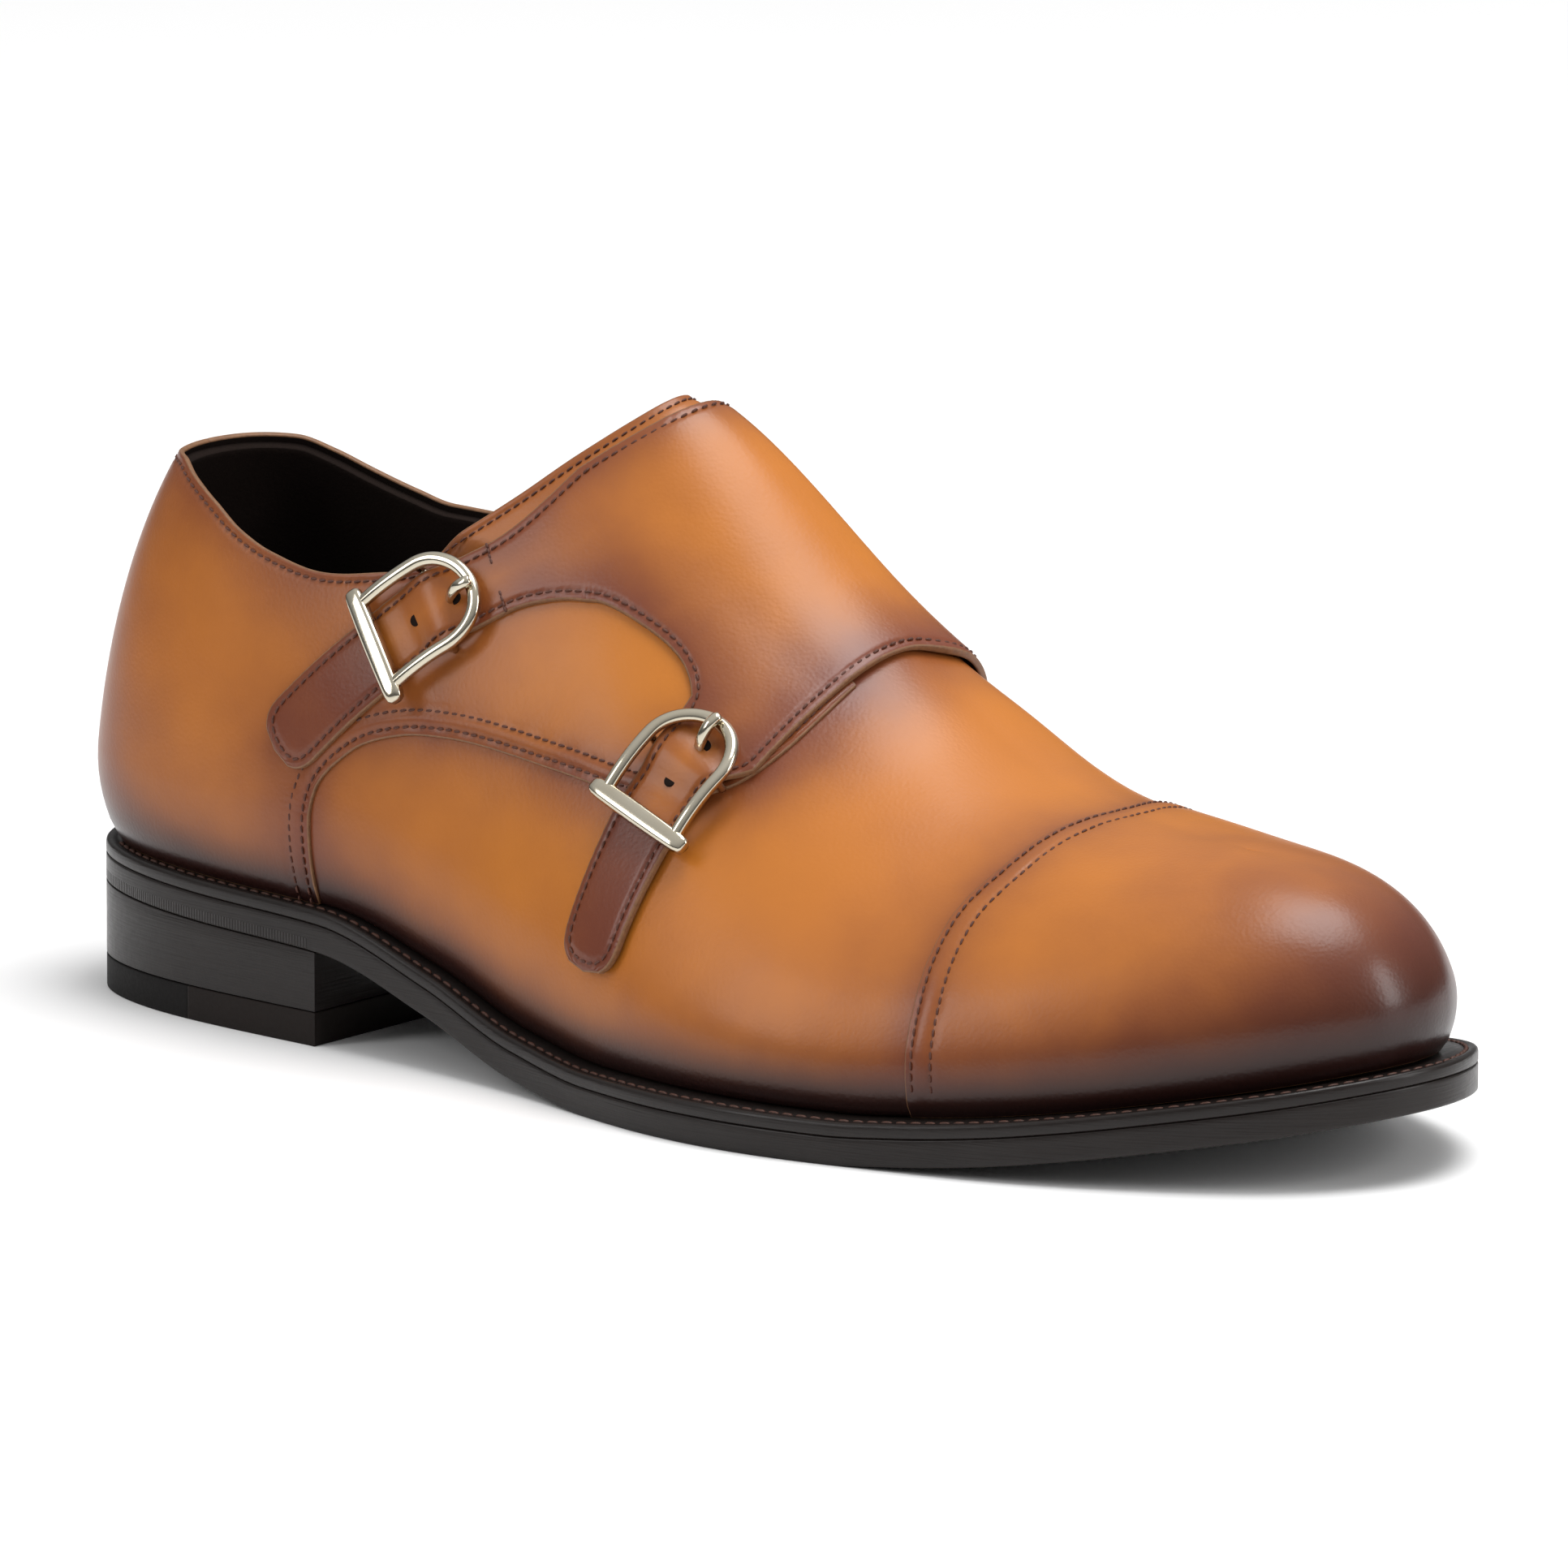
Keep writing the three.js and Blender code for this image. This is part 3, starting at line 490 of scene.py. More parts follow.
class Leather:
    """A sheet of leather cut from the form, as blocks of four-sided cells.

    A block is an array of pattern places in rows. Blocks that share an edge are joined.
    """

    RIM = 5

    def __init__(self):
        self.places, self.lifts, self.cells = [], [], []
        self.count = 0

    def block(self, grid, lift=None):
        grid = np.asarray(grid, float)
        rows, cols = grid.shape[:2]
        ids = np.arange(rows * cols).reshape(rows, cols) + self.count
        du = np.gradient(grid, axis=0)
        dv = np.gradient(grid, axis=1)
        turn = np.median(du[..., 0] * dv[..., 1] - du[..., 1] * dv[..., 0])
        quads = np.stack([ids[:-1, :-1], ids[1:, :-1], ids[1:, 1:], ids[:-1, 1:]], -1)
        quads = quads.reshape(-1, 4)
        self.cells.append(quads if turn > 0 else quads[:, ::-1])
        self.places.append(grid.reshape(-1, 2))
        self.lifts.append(np.zeros(rows * cols) if lift is None else lift.reshape(-1))
        self.count += rows * cols
        return self

    def join(self):
        """Merges points that fall together. Gives places, lifts, points, normals and cells."""
        places, lifts = np.concatenate(self.places), np.concatenate(self.lifts)
        cells = np.concatenate(self.cells)
        points = form(places[:, 0], places[:, 1])
        keys = np.round(points / 0.02 + 0.137).astype(np.int64)
        _, first, back = np.unique(keys, axis=0, return_index=True, return_inverse=True)
        self.where = places[first]
        self.lift = lifts[first]
        self.surface = points[first]
        self.normal = form_normal(self.where[:, 0], self.where[:, 1])
        self.faces = []
        for cell in back.reshape(-1)[cells]:
            corner = [c for k, c in enumerate(cell) if c != cell[k - 1]]
            if len(corner) > 2:
                self.faces.append(corner)
        return self

    def build(self, name, layer, materials, high=0.0, masks=None, edge=0.35):
        """A closed piece between the layer's heights. high is added to its top, and edge is
        how far the cut edge bulges."""
        low_height, high_height = layer
        n = len(self.where)
        top_h = high_height + self.lift + high
        low_h = low_height + self.lift + np.zeros(n)
        top = self.surface + self.normal * top_h[:, None]
        low = self.surface + self.normal * low_h[:, None]
        ways = {(a, b) for face in self.faces for a, b in zip(face, face[1:] + face[:1])}
        rim = [(a, b) for a, b in ways if (b, a) not in ways]
        tangent = np.zeros((n, 3))
        for a, b in rim:
            step = self.surface[b] - self.surface[a]
            tangent[a] += step
            tangent[b] += step
        at_rim = sorted({c for ab in rim for c in ab})
        out = unit(np.cross(unit(tangent[at_rim]), self.normal[at_rim]))
        rows = [top, low]
        where = [np.arange(n), np.arange(n)]
        place = {c: k for k, c in enumerate(at_rim)}
        for angle in np.linspace(0, math.pi, self.RIM + 1)[1:-1]:
            share = 0.5 + 0.5 * np.sign(math.cos(angle)) * abs(math.cos(angle)) ** 0.6
            bulge = edge * math.sin(angle) ** 0.6
            rows.append(
                low[at_rim] + (top[at_rim] - low[at_rim]) * share + out * bulge
            )
            where.append(np.array(at_rim))
        m = len(at_rim)

        def ring(k, c):
            if k == 0:
                return c
            if k == self.RIM:
                return n + c
            return 2 * n + (k - 1) * m + place[c]

        faces = list(self.faces) + [[n + c for c in reversed(f)] for f in self.faces]
        kinds = [0] * len(self.faces) + [2] * len(self.faces)
        for a, b in rim:
            for k in range(self.RIM):
                faces.append([ring(k, b), ring(k, a), ring(k + 1, a), ring(k + 1, b)])
                kinds.append(1)
        index = np.concatenate(where)
        spread = {key: np.asarray(values)[index] for key, values in (masks or {}).items()}
        return piece(
            name, np.concatenate(rows), faces, materials, kinds, spread
        )


def between(start, end, shares):
    """A grid of places from each place of start to its partner in end."""
    return start[:, None] + (end - start)[:, None] * shares[None, :, None]


def slab(name, footprint, turns, low, high, materials, edge=0.5, across=10):
    """A layer of the sole inside a footprint, from the back to a station, with soft edges.
    low and high give its heights at x."""
    last_turn = turns[-1]
    ring = np.concatenate([turns, AROUND - turns[::-1]])
    ring = ring[np.concatenate([[True], np.diff(np.mod(ring, AROUND)) != 0])]
    whole = last_turn >= STATIONS
    line = np.stack(footprint(ring), -1)
    if not whole:  # close the straight breast
        a, b = line[len(turns) - 1], line[len(turns)]
        steps = np.linspace(0, 1, 12)[1:-1]
        line = np.concatenate(
            [line[: len(turns)], a + (b - a) * steps[:, None], line[len(turns):]]
        )
    if np.allclose(line[0], line[-1]):
        line = line[:-1]
    tangent = unit(np.roll(line, -1, 0) - np.roll(line, 1, 0))
    inward = np.stack([-tangent[:, 1], tangent[:, 0]], -1)
    profile = []
    for angle in np.linspace(0, math.pi / 2, 4):
        profile.append((edge * (1 - math.sin(angle)), edge * (1 - math.cos(angle)), 0))
    for share in (0.25, 0.5, 0.75):
        profile.append((0, 0, share))
    for angle in np.linspace(math.pi / 2, 0, 4):
        profile.append((edge * (1 - math.sin(angle)), -edge * (1 - math.cos(angle)), 1))
    points, rise = [], []
    for inset, lift, share in profile:
        flat = line + inward * inset
        base_low, base_high = low(flat[:, 0]), high(flat[:, 0])
        points.append(
            np.column_stack([flat, base_low + (base_high - base_low) * share + lift])
        )
        rise.append((base_high - base_low) * share + lift)
    count = len(line)
    faces = []
    for k in range(len(profile) - 1):
        for i in range(count):
            j = (i + 1) % count
            faces.append(
                [k * count + i, k * count + j, (k + 1) * count + j, (k + 1) * count + i]
            )
    # The flat sides are rings drawn in towards the middle line.
    for start, height, flip in ((0, low, True), ((len(profile) - 1) * count, high, False)):
        outer = points[0 if flip else len(profile) - 1][:, :2]
        core = np.column_stack([outer[:, 0], np.zeros(count)])
        previous = start
        for step in range(1, across + 1):
            share = step / across
            flat = outer + (core - outer) * share
            index = sum(len(p) for p in points)
            points.append(np.column_stack([flat, height(flat[:, 0])]))
            rise.append(np.full(count, rise[0 if flip else len(profile) - 1].mean()))
            for i in range(count):
                j = (i + 1) % count
                face = [previous + i, previous + j, index + j, index + i]
                faces.append(face[::-1] if flip else face)
            previous = index
    masks = {"around": np.tile(arc_length(line), len(points)), "rise": np.concatenate(rise)}
    obj = piece(name, np.concatenate(points), faces, materials, masks=masks)
    merge_near(obj, 0.02)
    obj.data.set_sharp_from_angle(angle=math.radians(50))
    return obj


def merge_near(obj, distance):
    """Joins points that fall together and drops faces left with no area."""
    mesh = bmesh.new()
    mesh.from_mesh(obj.data)
    bmesh.ops.remove_doubles(mesh, verts=mesh.verts, dist=distance * MM)
    bmesh.ops.dissolve_degenerate(mesh, dist=1e-6, edges=mesh.edges)
    bmesh.ops.recalc_face_normals(mesh, faces=mesh.faces)
    mesh.to_mesh(obj.data)
    mesh.free()
    obj.data.update()


def tube(points, normals, radii, sides=16, square=1.0):
    """Points and faces of a bar along a path. radii has a (sideways, upwards) pair for each
    point, and square under 1 makes its section boxier."""
    points, normals = np.asarray(points, float), np.asarray(normals, float)
    tangent = unit(np.gradient(points, axis=0))
    up = unit(normals - (normals * tangent).sum(-1, keepdims=True) * tangent)
    side = np.cross(tangent, up)
    angle = np.linspace(0, 2 * math.pi, sides, endpoint=False)
    c, s = np.cos(angle), np.sin(angle)
    c, s = np.sign(c) * abs(c) ** square, np.sign(s) * abs(s) ** square
    radii = np.asarray(radii, float)
    rings = (
        points[:, None]
        + side[:, None] * (radii[:, :1] * c)[..., None]
        + up[:, None] * (radii[:, 1:] * s)[..., None]
    )
    n = len(points)
    faces = []
    for i in range(n - 1):
        for k in range(sides):
            m = (k + 1) % sides
            faces.append(
                [i * sides + k, (i + 1) * sides + k, (i + 1) * sides + m, i * sides + m]
            )
    for k in range(sides):
        m = (k + 1) % sides
        faces.append([n * sides, k, m])
        faces.append([n * sides + 1, (n - 1) * sides + m, (n - 1) * sides + k])
    return np.concatenate([rings.reshape(-1, 3), [points[0]], [points[-1]]]), faces


def join_tubes(parts):
    points, faces, start = [], [], 0
    for p, f in parts:
        points.append(p)
        faces += [[start + c for c in face] for face in f]
        start += len(p)
    return np.concatenate(points), faces


def stitch(middle, way, up, length, radii, dip, steps=6, taper=0.86, sides=6):
    """One plump thread that dips into the leather at both ends."""
    along = np.linspace(-1, 1, steps)
    swell = np.sqrt(np.clip(1 - taper * along**4, 0, 1))
    line = middle + along[:, None] * way * length / 2 - up * (dip * along**4)[:, None]
    return tube(line, np.repeat(up[None], steps, 0), np.outer(swell, radii), sides)


def stitch_row(places, height, pitch, length=1.5, radius=0.24):
    """The stitches of one row, each a little aslant."""
    middles = resample(places, pitch)
    u, v = middles[:, 0], middles[:, 1]
    height = height(middles) if callable(height) else height
    points, normal = form(u, v, height), form_normal(u, v)
    tangent = unit(np.gradient(points, axis=0))
    side = np.cross(normal, tangent)
    ways = unit(tangent * math.cos(STITCH_SLANT) + side * math.sin(STITCH_SLANT))
    return join_tubes(
        [stitch(*at, length, (radius, radius), 0.24) for at in zip(points, ways, normal)]
    )


# ---- Materials -------------------------------------------------------------------------------


def new_group(name, inputs, outputs):
    """An empty shader node group with its sockets, and its input and output nodes."""
    group = bpy.data.node_groups.new(name, "ShaderNodeTree")
    for socket, kind, default in inputs:
        made = group.interface.new_socket(name=socket, in_out="INPUT", socket_type=kind)
        if default is not None:
            made.default_value = default
    for socket, kind in outputs:
        group.interface.new_socket(name=socket, in_out="OUTPUT", socket_type=kind)
    return group, group.nodes.new("NodeGroupInput"), group.nodes.new("NodeGroupOutput")


def add(tree, kind, inputs=None, **settings):
    """A node with its settings, and its inputs set to values or linked to sockets."""
    node = tree.nodes.new(kind)
    for key, value in settings.items():
        setattr(node, key, value)
    for key, value in (inputs or {}).items():
        socket = node.inputs[key]
        if isinstance(value, bpy.types.NodeSocket):
            tree.links.new(value, socket)
        else:
            socket.default_value = value
    return node


def maths(tree, operation, a, b=0.0, c=0.5, clamp=False):
    inputs = {0: a, 1: b, 2: c}
    return add(tree, "ShaderNodeMath", inputs, operation=operation, use_clamp=clamp).outputs[0]


def mix_colour(tree, share, a, b):
    node = add(tree, "ShaderNodeMix", data_type="RGBA")
    for key, value in ((0, share), (6, a), (7, b)):
        if isinstance(value, bpy.types.NodeSocket):
            tree.links.new(value, node.inputs[key])
        else:
            node.inputs[key].default_value = value
    return node.outputs[2]


def mix_value(tree, share, a, b):
    node = add(tree, "ShaderNodeMix", {0: share, 2: a, 3: b}, data_type="FLOAT")
    return node.outputs[0]


def noise(tree, scale, detail=2.0, rough=0.5, vector=None):
    if vector is None:
        vector = add(tree, "ShaderNodeTexCoord").outputs["Object"]
    inputs = {"Vector": vector, "Scale": scale, "Detail": detail, "Roughness": rough}
    return add(tree, "ShaderNodeTexNoise", inputs).outputs["Fac"]


def rgba(colour):
    return (*colour, 1.0)


def grain_group():
    """Fine calf grain: pores between smooth cells, as a height."""
    group, given, out = new_group(
        "LeatherGrain",
        [("Scale", "NodeSocketFloat", 1500.0), ("Wrinkle", "NodeSocketFloat", 0.3)],
        [("Height", "NodeSocketFloat")],
    )
    place = add(group, "ShaderNodeTexCoord").outputs["Object"]
    cells = add(
        group,
        "ShaderNodeTexVoronoi",
        {"Vector": place, "Scale": given.outputs["Scale"]},
        feature="SMOOTH_F1",
    ).outputs["Distance"]
    wide = add(
        group,
        "ShaderNodeTexNoise",
        {"Vector": place, "Scale": 160.0, "Detail": 3.0},
    ).outputs["Fac"]
    height = maths(
        group, "ADD", cells, maths(group, "MULTIPLY", wide, given.outputs["Wrinkle"])
    )
    group.links.new(height, out.inputs["Height"])
    return group


def burnish_group():
    """Hand burnishing: amber dye, rubbed russet towards seams and nearly black at the welt."""
    group, given, out = new_group(
        "Burnish",
        [
            ("Burn", "NodeSocketFloat", 0.0),
            ("Dark", "NodeSocketFloat", 0.0),
            ("Amber", "NodeSocketColor", None),
            ("Tan", "NodeSocketColor", None),
            ("Russet", "NodeSocketColor", None),
            ("Espresso", "NodeSocketColor", None),
        ],
        [("Colour", "NodeSocketColor"), ("Depth", "NodeSocketFloat")],
    )
    cloud = noise(group, 16.0, 2.0, 0.55)
    fine = noise(group, 70.0, 3.0, 0.6)
    rubbed = noise(group, 34.0, 2.0, 0.5)
    base = mix_colour(
        group,
        maths(group, "MULTIPLY_ADD", cloud, 1.7, -0.45, clamp=True),
        given.outputs["Amber"],
        given.outputs["Tan"],
    )
    patch = maths(group, "MULTIPLY", maths(group, "SUBTRACT", rubbed, 0.5), 0.34)
    speck = maths(group, "MULTIPLY", maths(group, "SUBTRACT", fine, 0.5), 0.22)
    burn = maths(group, "ADD", given.outputs["Burn"], maths(group, "ADD", patch, speck))
    burn = add(
        group,
        "ShaderNodeMapRange",
        {"Value": burn, "From Min": 0.05, "From Max": 0.95},
        interpolation_type="SMOOTHSTEP",
    ).outputs["Result"]
    dark = maths(group, "ADD", given.outputs["Dark"], maths(group, "MULTIPLY", patch, 0.5))
    dark = add(
        group,
        "ShaderNodeMapRange",
        {"Value": dark, "From Min": 0.08, "From Max": 0.95},
        interpolation_type="SMOOTHSTEP",
    ).outputs["Result"]
    colour = mix_colour(group, burn, base, given.outputs["Russet"])
    colour = mix_colour(group, dark, colour, given.outputs["Espresso"])
    group.links.new(colour, out.inputs["Colour"])
    group.links.new(maths(group, "MAXIMUM", burn, dark), out.inputs["Depth"])
    return group


def group_named(name, make):
    return bpy.data.node_groups.get(name) or make()


def new_material(name, **principled):
    """A material with its Principled shader, and constant values set on its sockets."""
    material = bpy.data.materials.new(name)
    material.use_nodes = True
    shader = material.node_tree.nodes["Principled BSDF"]
    for key, value in principled.items():
        shader.inputs[key.replace("_", " ")].default_value = value
    return material, material.node_tree, shader


def bump(tree, shader, height, distance, strength=1.0):
    node = add(
        tree,
        "ShaderNodeBump",
        {"Height": height, "Distance": distance, "Strength": strength},
    )
    tree.links.new(node.outputs["Normal"], shader.inputs["Normal"])


def mask(tree, name):
    return add(tree, "ShaderNodeAttribute", attribute_name=name).outputs["Fac"]


def calf(name, colours):
    material, tree, shader = new_material(
        name, Specular_IOR_Level=0.34, Coat_Roughness=0.16, Coat_IOR=1.45
    )
    burn = mask(tree, "burn")
    group = add(tree, "ShaderNodeGroup", node_tree=group_named("Burnish", burnish_group))
    tree.links.new(burn, group.inputs["Burn"])
    tree.links.new(mask(tree, "dark"), group.inputs["Dark"])
    for key in ("Amber", "Tan", "Russet", "Espresso"):
        group.inputs[key].default_value = rgba(getattr(colours, key.lower()))
    tree.links.new(group.outputs["Colour"], shader.inputs["Base Color"])
    rub = noise(tree, 110.0, 3.0, 0.6)
    rough = mix_value(tree, group.outputs["Depth"], 0.36, 0.27)
    rough = maths(tree, "ADD", rough, maths(tree, "MULTIPLY", rub, 0.08))
    tree.links.new(rough, shader.inputs["Roughness"])
    coat = mix_value(tree, group.outputs["Depth"], 0.06, 0.08)
    tree.links.new(coat, shader.inputs["Coat Weight"])
    grain = add(tree, "ShaderNodeGroup", node_tree=group_named("LeatherGrain", grain_group))
    bump(tree, shader, grain.outputs["Height"], 0.00006, 0.5)
    return material


def cut_edge(name, colours):
    """The raw, burnished cut edge of a sheet of calf, with its fibres lying along it."""
    material, tree, shader = new_material(name, Specular_IOR_Level=0.4)
    fibre = noise(tree, 900.0, 4.0, 0.7)
    tree.links.new(
        mix_colour(tree, fibre, rgba(colours.cut_dark), rgba(colours.cut_light)),
        shader.inputs["Base Color"],
    )
    rough = maths(tree, "MULTIPLY_ADD", fibre, 0.25, 0.4)
    tree.links.new(rough, shader.inputs["Roughness"])
    bump(tree, shader, fibre, 0.0002, 0.5)
    return material


def suede(name, colours):
    material, tree, shader = new_material(name, Specular_IOR_Level=0.06)
    nap = noise(tree, 1400.0, 4.0, 0.75)
    cloud = noise(tree, 45.0, 3.0, 0.6)
    share = maths(tree, "MULTIPLY", maths(tree, "ADD", nap, cloud), 0.5)
    colour = mix_colour(tree, share, rgba(colours.lining_dark), rgba(colours.lining_light))
    tree.links.new(colour, shader.inputs["Base Color"])
    tree.links.new(mix_value(tree, cloud, 0.82, 0.98), shader.inputs["Roughness"])
    bump(tree, shader, nap, 0.0003, 0.6)
    return material


FUDGE_PITCH = 0.75  # of the fudge wheel's marks, which stand low round the heel seat
FUDGE_TOP = 2.3
FUDGE_LENGTH = 70.0


def edge_dressing(name, colour, light, fudge=False):
    """Ink and wax over the edge of the sole: thin leather layers show through faintly."""
    material, tree, shader = new_material(name, Specular_IOR_Level=0.22, Coat_Roughness=0.25)
    cloud = noise(tree, 60.0, 3.0, 0.6)
    fine = noise(tree, 700.0, 3.0, 0.6)
    place = add(tree, "ShaderNodeTexCoord").outputs["Object"]
    stretched = add(
        tree, "ShaderNodeMapping", {"Vector": place, "Scale": (60.0, 60.0, 2600.0)}
    ).outputs[0]
    layers = noise(tree, 1.0, 2.0, 0.5, stretched)
    share = maths(tree, "MULTIPLY", maths(tree, "ADD", cloud, layers), 0.5)
    tree.links.new(
        mix_colour(tree, share, rgba(colour), rgba(light)), shader.inputs["Base Color"]
    )
    tree.links.new(mix_value(tree, fine, 0.26, 0.46), shader.inputs["Roughness"])
    tree.links.new(mix_value(tree, cloud, 0.05, 0.16), shader.inputs["Coat Weight"])
    height = maths(tree, "ADD", layers, maths(tree, "MULTIPLY", fine, 0.3))
    if fudge:
        around = maths(tree, "MULTIPLY", mask(tree, "around"), 2 * math.pi / FUDGE_PITCH)
        tick = maths(tree, "SINE", around)
        band = maths(tree, "LESS_THAN", mask(tree, "rise"), FUDGE_TOP)
        back = maths(tree, "LESS_THAN", mask(tree, "from_back"), FUDGE_LENGTH)
        tick = maths(tree, "MULTIPLY", tick, maths(tree, "MULTIPLY", band, back))
        height = maths(tree, "ADD", height, maths(tree, "MULTIPLY", tick, 1.6))
    bump(tree, shader, height, 0.00012, 0.6)
    return material


def rubber(name, colours):
    material, tree, shader = new_material(name, Specular_IOR_Level=0.15)
    fine = noise(tree, 1200.0, 3.0, 0.6)
    cloud = noise(tree, 50.0, 2.0, 0.5)
    from_back = mask(tree, "from_back")
    leather = maths(tree, "GREATER_THAN", from_back, RUBBER_LENGTH)
    share = maths(tree, "MULTIPLY", leather, maths(tree, "MULTIPLY_ADD", cloud, 0.6, 0.5))
    tree.links.new(
        mix_colour(tree, share, rgba(colours.rubber), rgba(colours.edge_light)),
        shader.inputs["Base Color"],
    )
    joint = maths(tree, "ABSOLUTE", maths(tree, "SUBTRACT", from_back, RUBBER_LENGTH))
    groove = add(
        tree, "ShaderNodeMapRange", {"Value": joint, "From Min": 0.1, "From Max": 0.45}
    ).outputs["Result"]
    height = maths(tree, "ADD", maths(tree, "MULTIPLY", fine, 0.3), groove)
    tree.links.new(mix_value(tree, fine, 0.5, 0.68), shader.inputs["Roughness"])
    bump(tree, shader, height, 0.0002, 0.6)
    return material


def nickel(name, colours):
    material, tree, shader = new_material(name, Metallic=1.0)
    cloud = noise(tree, 120.0, 3.0, 0.6)
    fine = noise(tree, 2400.0, 2.0, 0.5)
    tree.links.new(
        mix_colour(tree, cloud, rgba(colours.nickel), rgba(colours.nickel_warm)),
        shader.inputs["Base Color"],
    )
    tree.links.new(mix_value(tree, cloud, 0.09, 0.17), shader.inputs["Roughness"])
    bump(tree, shader, fine, 0.00001, 0.25)
    return material


def thread(name, dark, light):
    """Waxed thread: its twist shows as fine slanting ridges."""
    material, tree, shader = new_material(name, Specular_IOR_Level=0.35)
    twist = noise(tree, 2600.0, 2.0, 0.5)
    tree.links.new(
        mix_colour(tree, twist, rgba(dark), rgba(light)), shader.inputs["Base Color"]
    )
    tree.links.new(mix_value(tree, twist, 0.5, 0.7), shader.inputs["Roughness"])
    bump(tree, shader, twist, 0.0001, 0.6)
    return material


def material_named(name, make, *values):
    return bpy.data.materials.get(name) or make(name, *values)


# ---- Sizes and colours -----------------------------------------------------------------------


def length_property(name, description, default_mm):
    return FloatProperty(
        name=name,
        description=description,
        default=default_mm * MM,
        min=0.0,
        precision=5,
        subtype="DISTANCE",
        unit="LENGTH",
    )


def colour_property(name, description, default):
    return FloatVectorProperty(
        name=name,
        description=description,
        default=default,
        size=3,
        min=0.0,
        max=1.0,
        subtype="COLOR",
    )


class ShoeSizes(PropertyGroup):
    """Sizes of the shoe's making that can be changed without changing its form."""

    stitch_pitch: length_property("Stitch pitch", "From one upper stitch to the next", 2.0)
    stitch_inset: length_property("Stitch inset", "From a cut edge to its first row", 1.3)
    second_row: length_property("Second row", "From a seam's edge to its second row", 4.4)
    furrow: length_property("Furrow", "How deep a row of stitches sinks", 0.3)
    welt_pitch: length_property("Welt stitch pitch", "From one welt stitch to the next", 2.9)
    welt_inset: length_property("Welt stitch inset", "From the welt's edge to its stitches", 2.3)


class ShoeColours(PropertyGroup):
    """Colours of the leathers, the edges, the thread and the buckles."""

    amber: colour_property("Amber", "Middle of each panel", (0.49, 0.158, 0.013))
    tan: colour_property("Tan", "Paler clouds in the amber", (0.43, 0.134, 0.022))
    russet: colour_property("Russet", "Burnish towards the seams", (0.150, 0.036, 0.017))
    espresso: colour_property("Espresso", "Burnish at the welt and toe", (0.018, 0.0050, 0.0038))
    cut_dark: colour_property("Cut edge, dark", "Deep fibres of a cut edge", (0.085, 0.036, 0.018))
    cut_light: colour_property("Cut edge, light", "Top fibres of a cut edge", (0.30, 0.145, 0.062))
    lining_dark: colour_property("Lining, dark", "Deep nap of the lining", (0.0060, 0.0040, 0.0034))
    lining_light: colour_property("Lining, light", "Raised nap", (0.0220, 0.0145, 0.0120))
    edge: colour_property("Sole edge", "Dressing of sole and welt", (0.0065, 0.0045, 0.004))
    edge_light: colour_property("Sole edge, worn", "Thin dressing", (0.015, 0.0105, 0.009))
    rubber: colour_property("Top lift", "Rubber of the top lift", (0.005, 0.004, 0.0038))
    thread: colour_property("Thread", "Thread of the upper", (0.055, 0.016, 0.010))
    thread_light: colour_property("Thread, worn", "Raised strands", (0.12, 0.045, 0.028))
    nickel: colour_property("Nickel", "Buckles", (0.62, 0.58, 0.48))
    nickel_warm: colour_property("Nickel, warm", "Thin places in the plating", (0.50, 0.44, 0.33))


def sizes():
    return bpy.context.scene.shoe_sizes


def colours():
    return bpy.context.scene.shoe_colours


def mm(value):
    return value / MM


def upper_calf():
    return material_named("burnished_calf", calf, colours())


def edge_calf():
    return material_named("calf_cut_edge", cut_edge, colours())


def lining():
    return material_named("dark_suede", suede, colours())


def upper_thread():
    c = colours()
    return material_named("upper_thread", thread, c.thread, c.thread_light)


# ---- Burnish ---------------------------------------------------------------------------------


TOE_TIP = (299, 0, 24)


def burnish(points, places, seams):
    """The burn and dark masks of leather at places. seams are (path, strength, reach)."""
    keep = np.ones(len(points))
    for line, strength, reach in seams:
        keep *= 1 - strength * np.exp(-((distance_to(points, line) / reach) ** 1.15))
    u, v = places[:, 0], places[:, 1]
    up = (1 - np.abs(v)) * girth_length(u, v)
    x = points[:, 0]
    from_toe = np.linalg.norm(points - TOE_TIP, axis=1)
    toe = np.exp(-((from_toe / 34) ** 1.6))
    toe_wide = np.exp(-((from_toe / 52) ** 1.7))
    heel = np.exp(-(((x - 2) / 26) ** 2))
    welt_reach = 9 + 5 * smoothstep(215, 290, x) + 4 * smoothstep(60, 10, x)
    keep *= 1 - 0.75 * np.exp(-((up / (welt_reach * 2.1)) ** 1.3))
    keep *= 1 - 0.8 * toe_wide
    keep *= 1 - 0.45 * heel
    dark = 1 - (1 - np.exp(-((up / welt_reach) ** 1.5))) * (1 - 0.55 * toe)
    return {"burn": 1 - keep, "dark": dark}


def ridge(distance, middle, width):
    """A soft ridge, 1 high, along a line at a distance."""
    return np.exp(-(((distance - middle) / width) ** 2))


def furrows(points, rows, depth):
    """How far rows of stitches pull a sheet down."""
    return -depth * ridge(distance_to(points, *rows), 0, FURROW_WIDTH)


# ---- Lines of the pattern --------------------------------------------------------------------


def opening_place(side, station):
    return -opening_lateral(station) if side == "lateral" else opening_medial(station)


def quarter_seam(side, pitch):
    return path(QUARTER_SEAM[side], pitch)


def seam_to_welt(side):
    """The whole visible seam, up from the welt and forward."""
    sign = -1 if side == "lateral" else 1
    down = np.array([(QUARTER_BACK[0], sign * g) for g in np.linspace(0.995, 0.85, 14)])
    return resample(np.concatenate([down, quarter_seam(side, 0.7)[1:]]), 1.0)


def topline(side):
    """The edge of a quarter along the opening, as far as the flap."""
    stations = np.linspace(0, FLAP_TOP_EDGE[0][0], 120)
    return resample(np.column_stack([stations, opening_place(side, stations)]), 1.0)


ROOT_SHARES = (5 / 18, 13 / 18)  # where the arc between the straps begins and ends


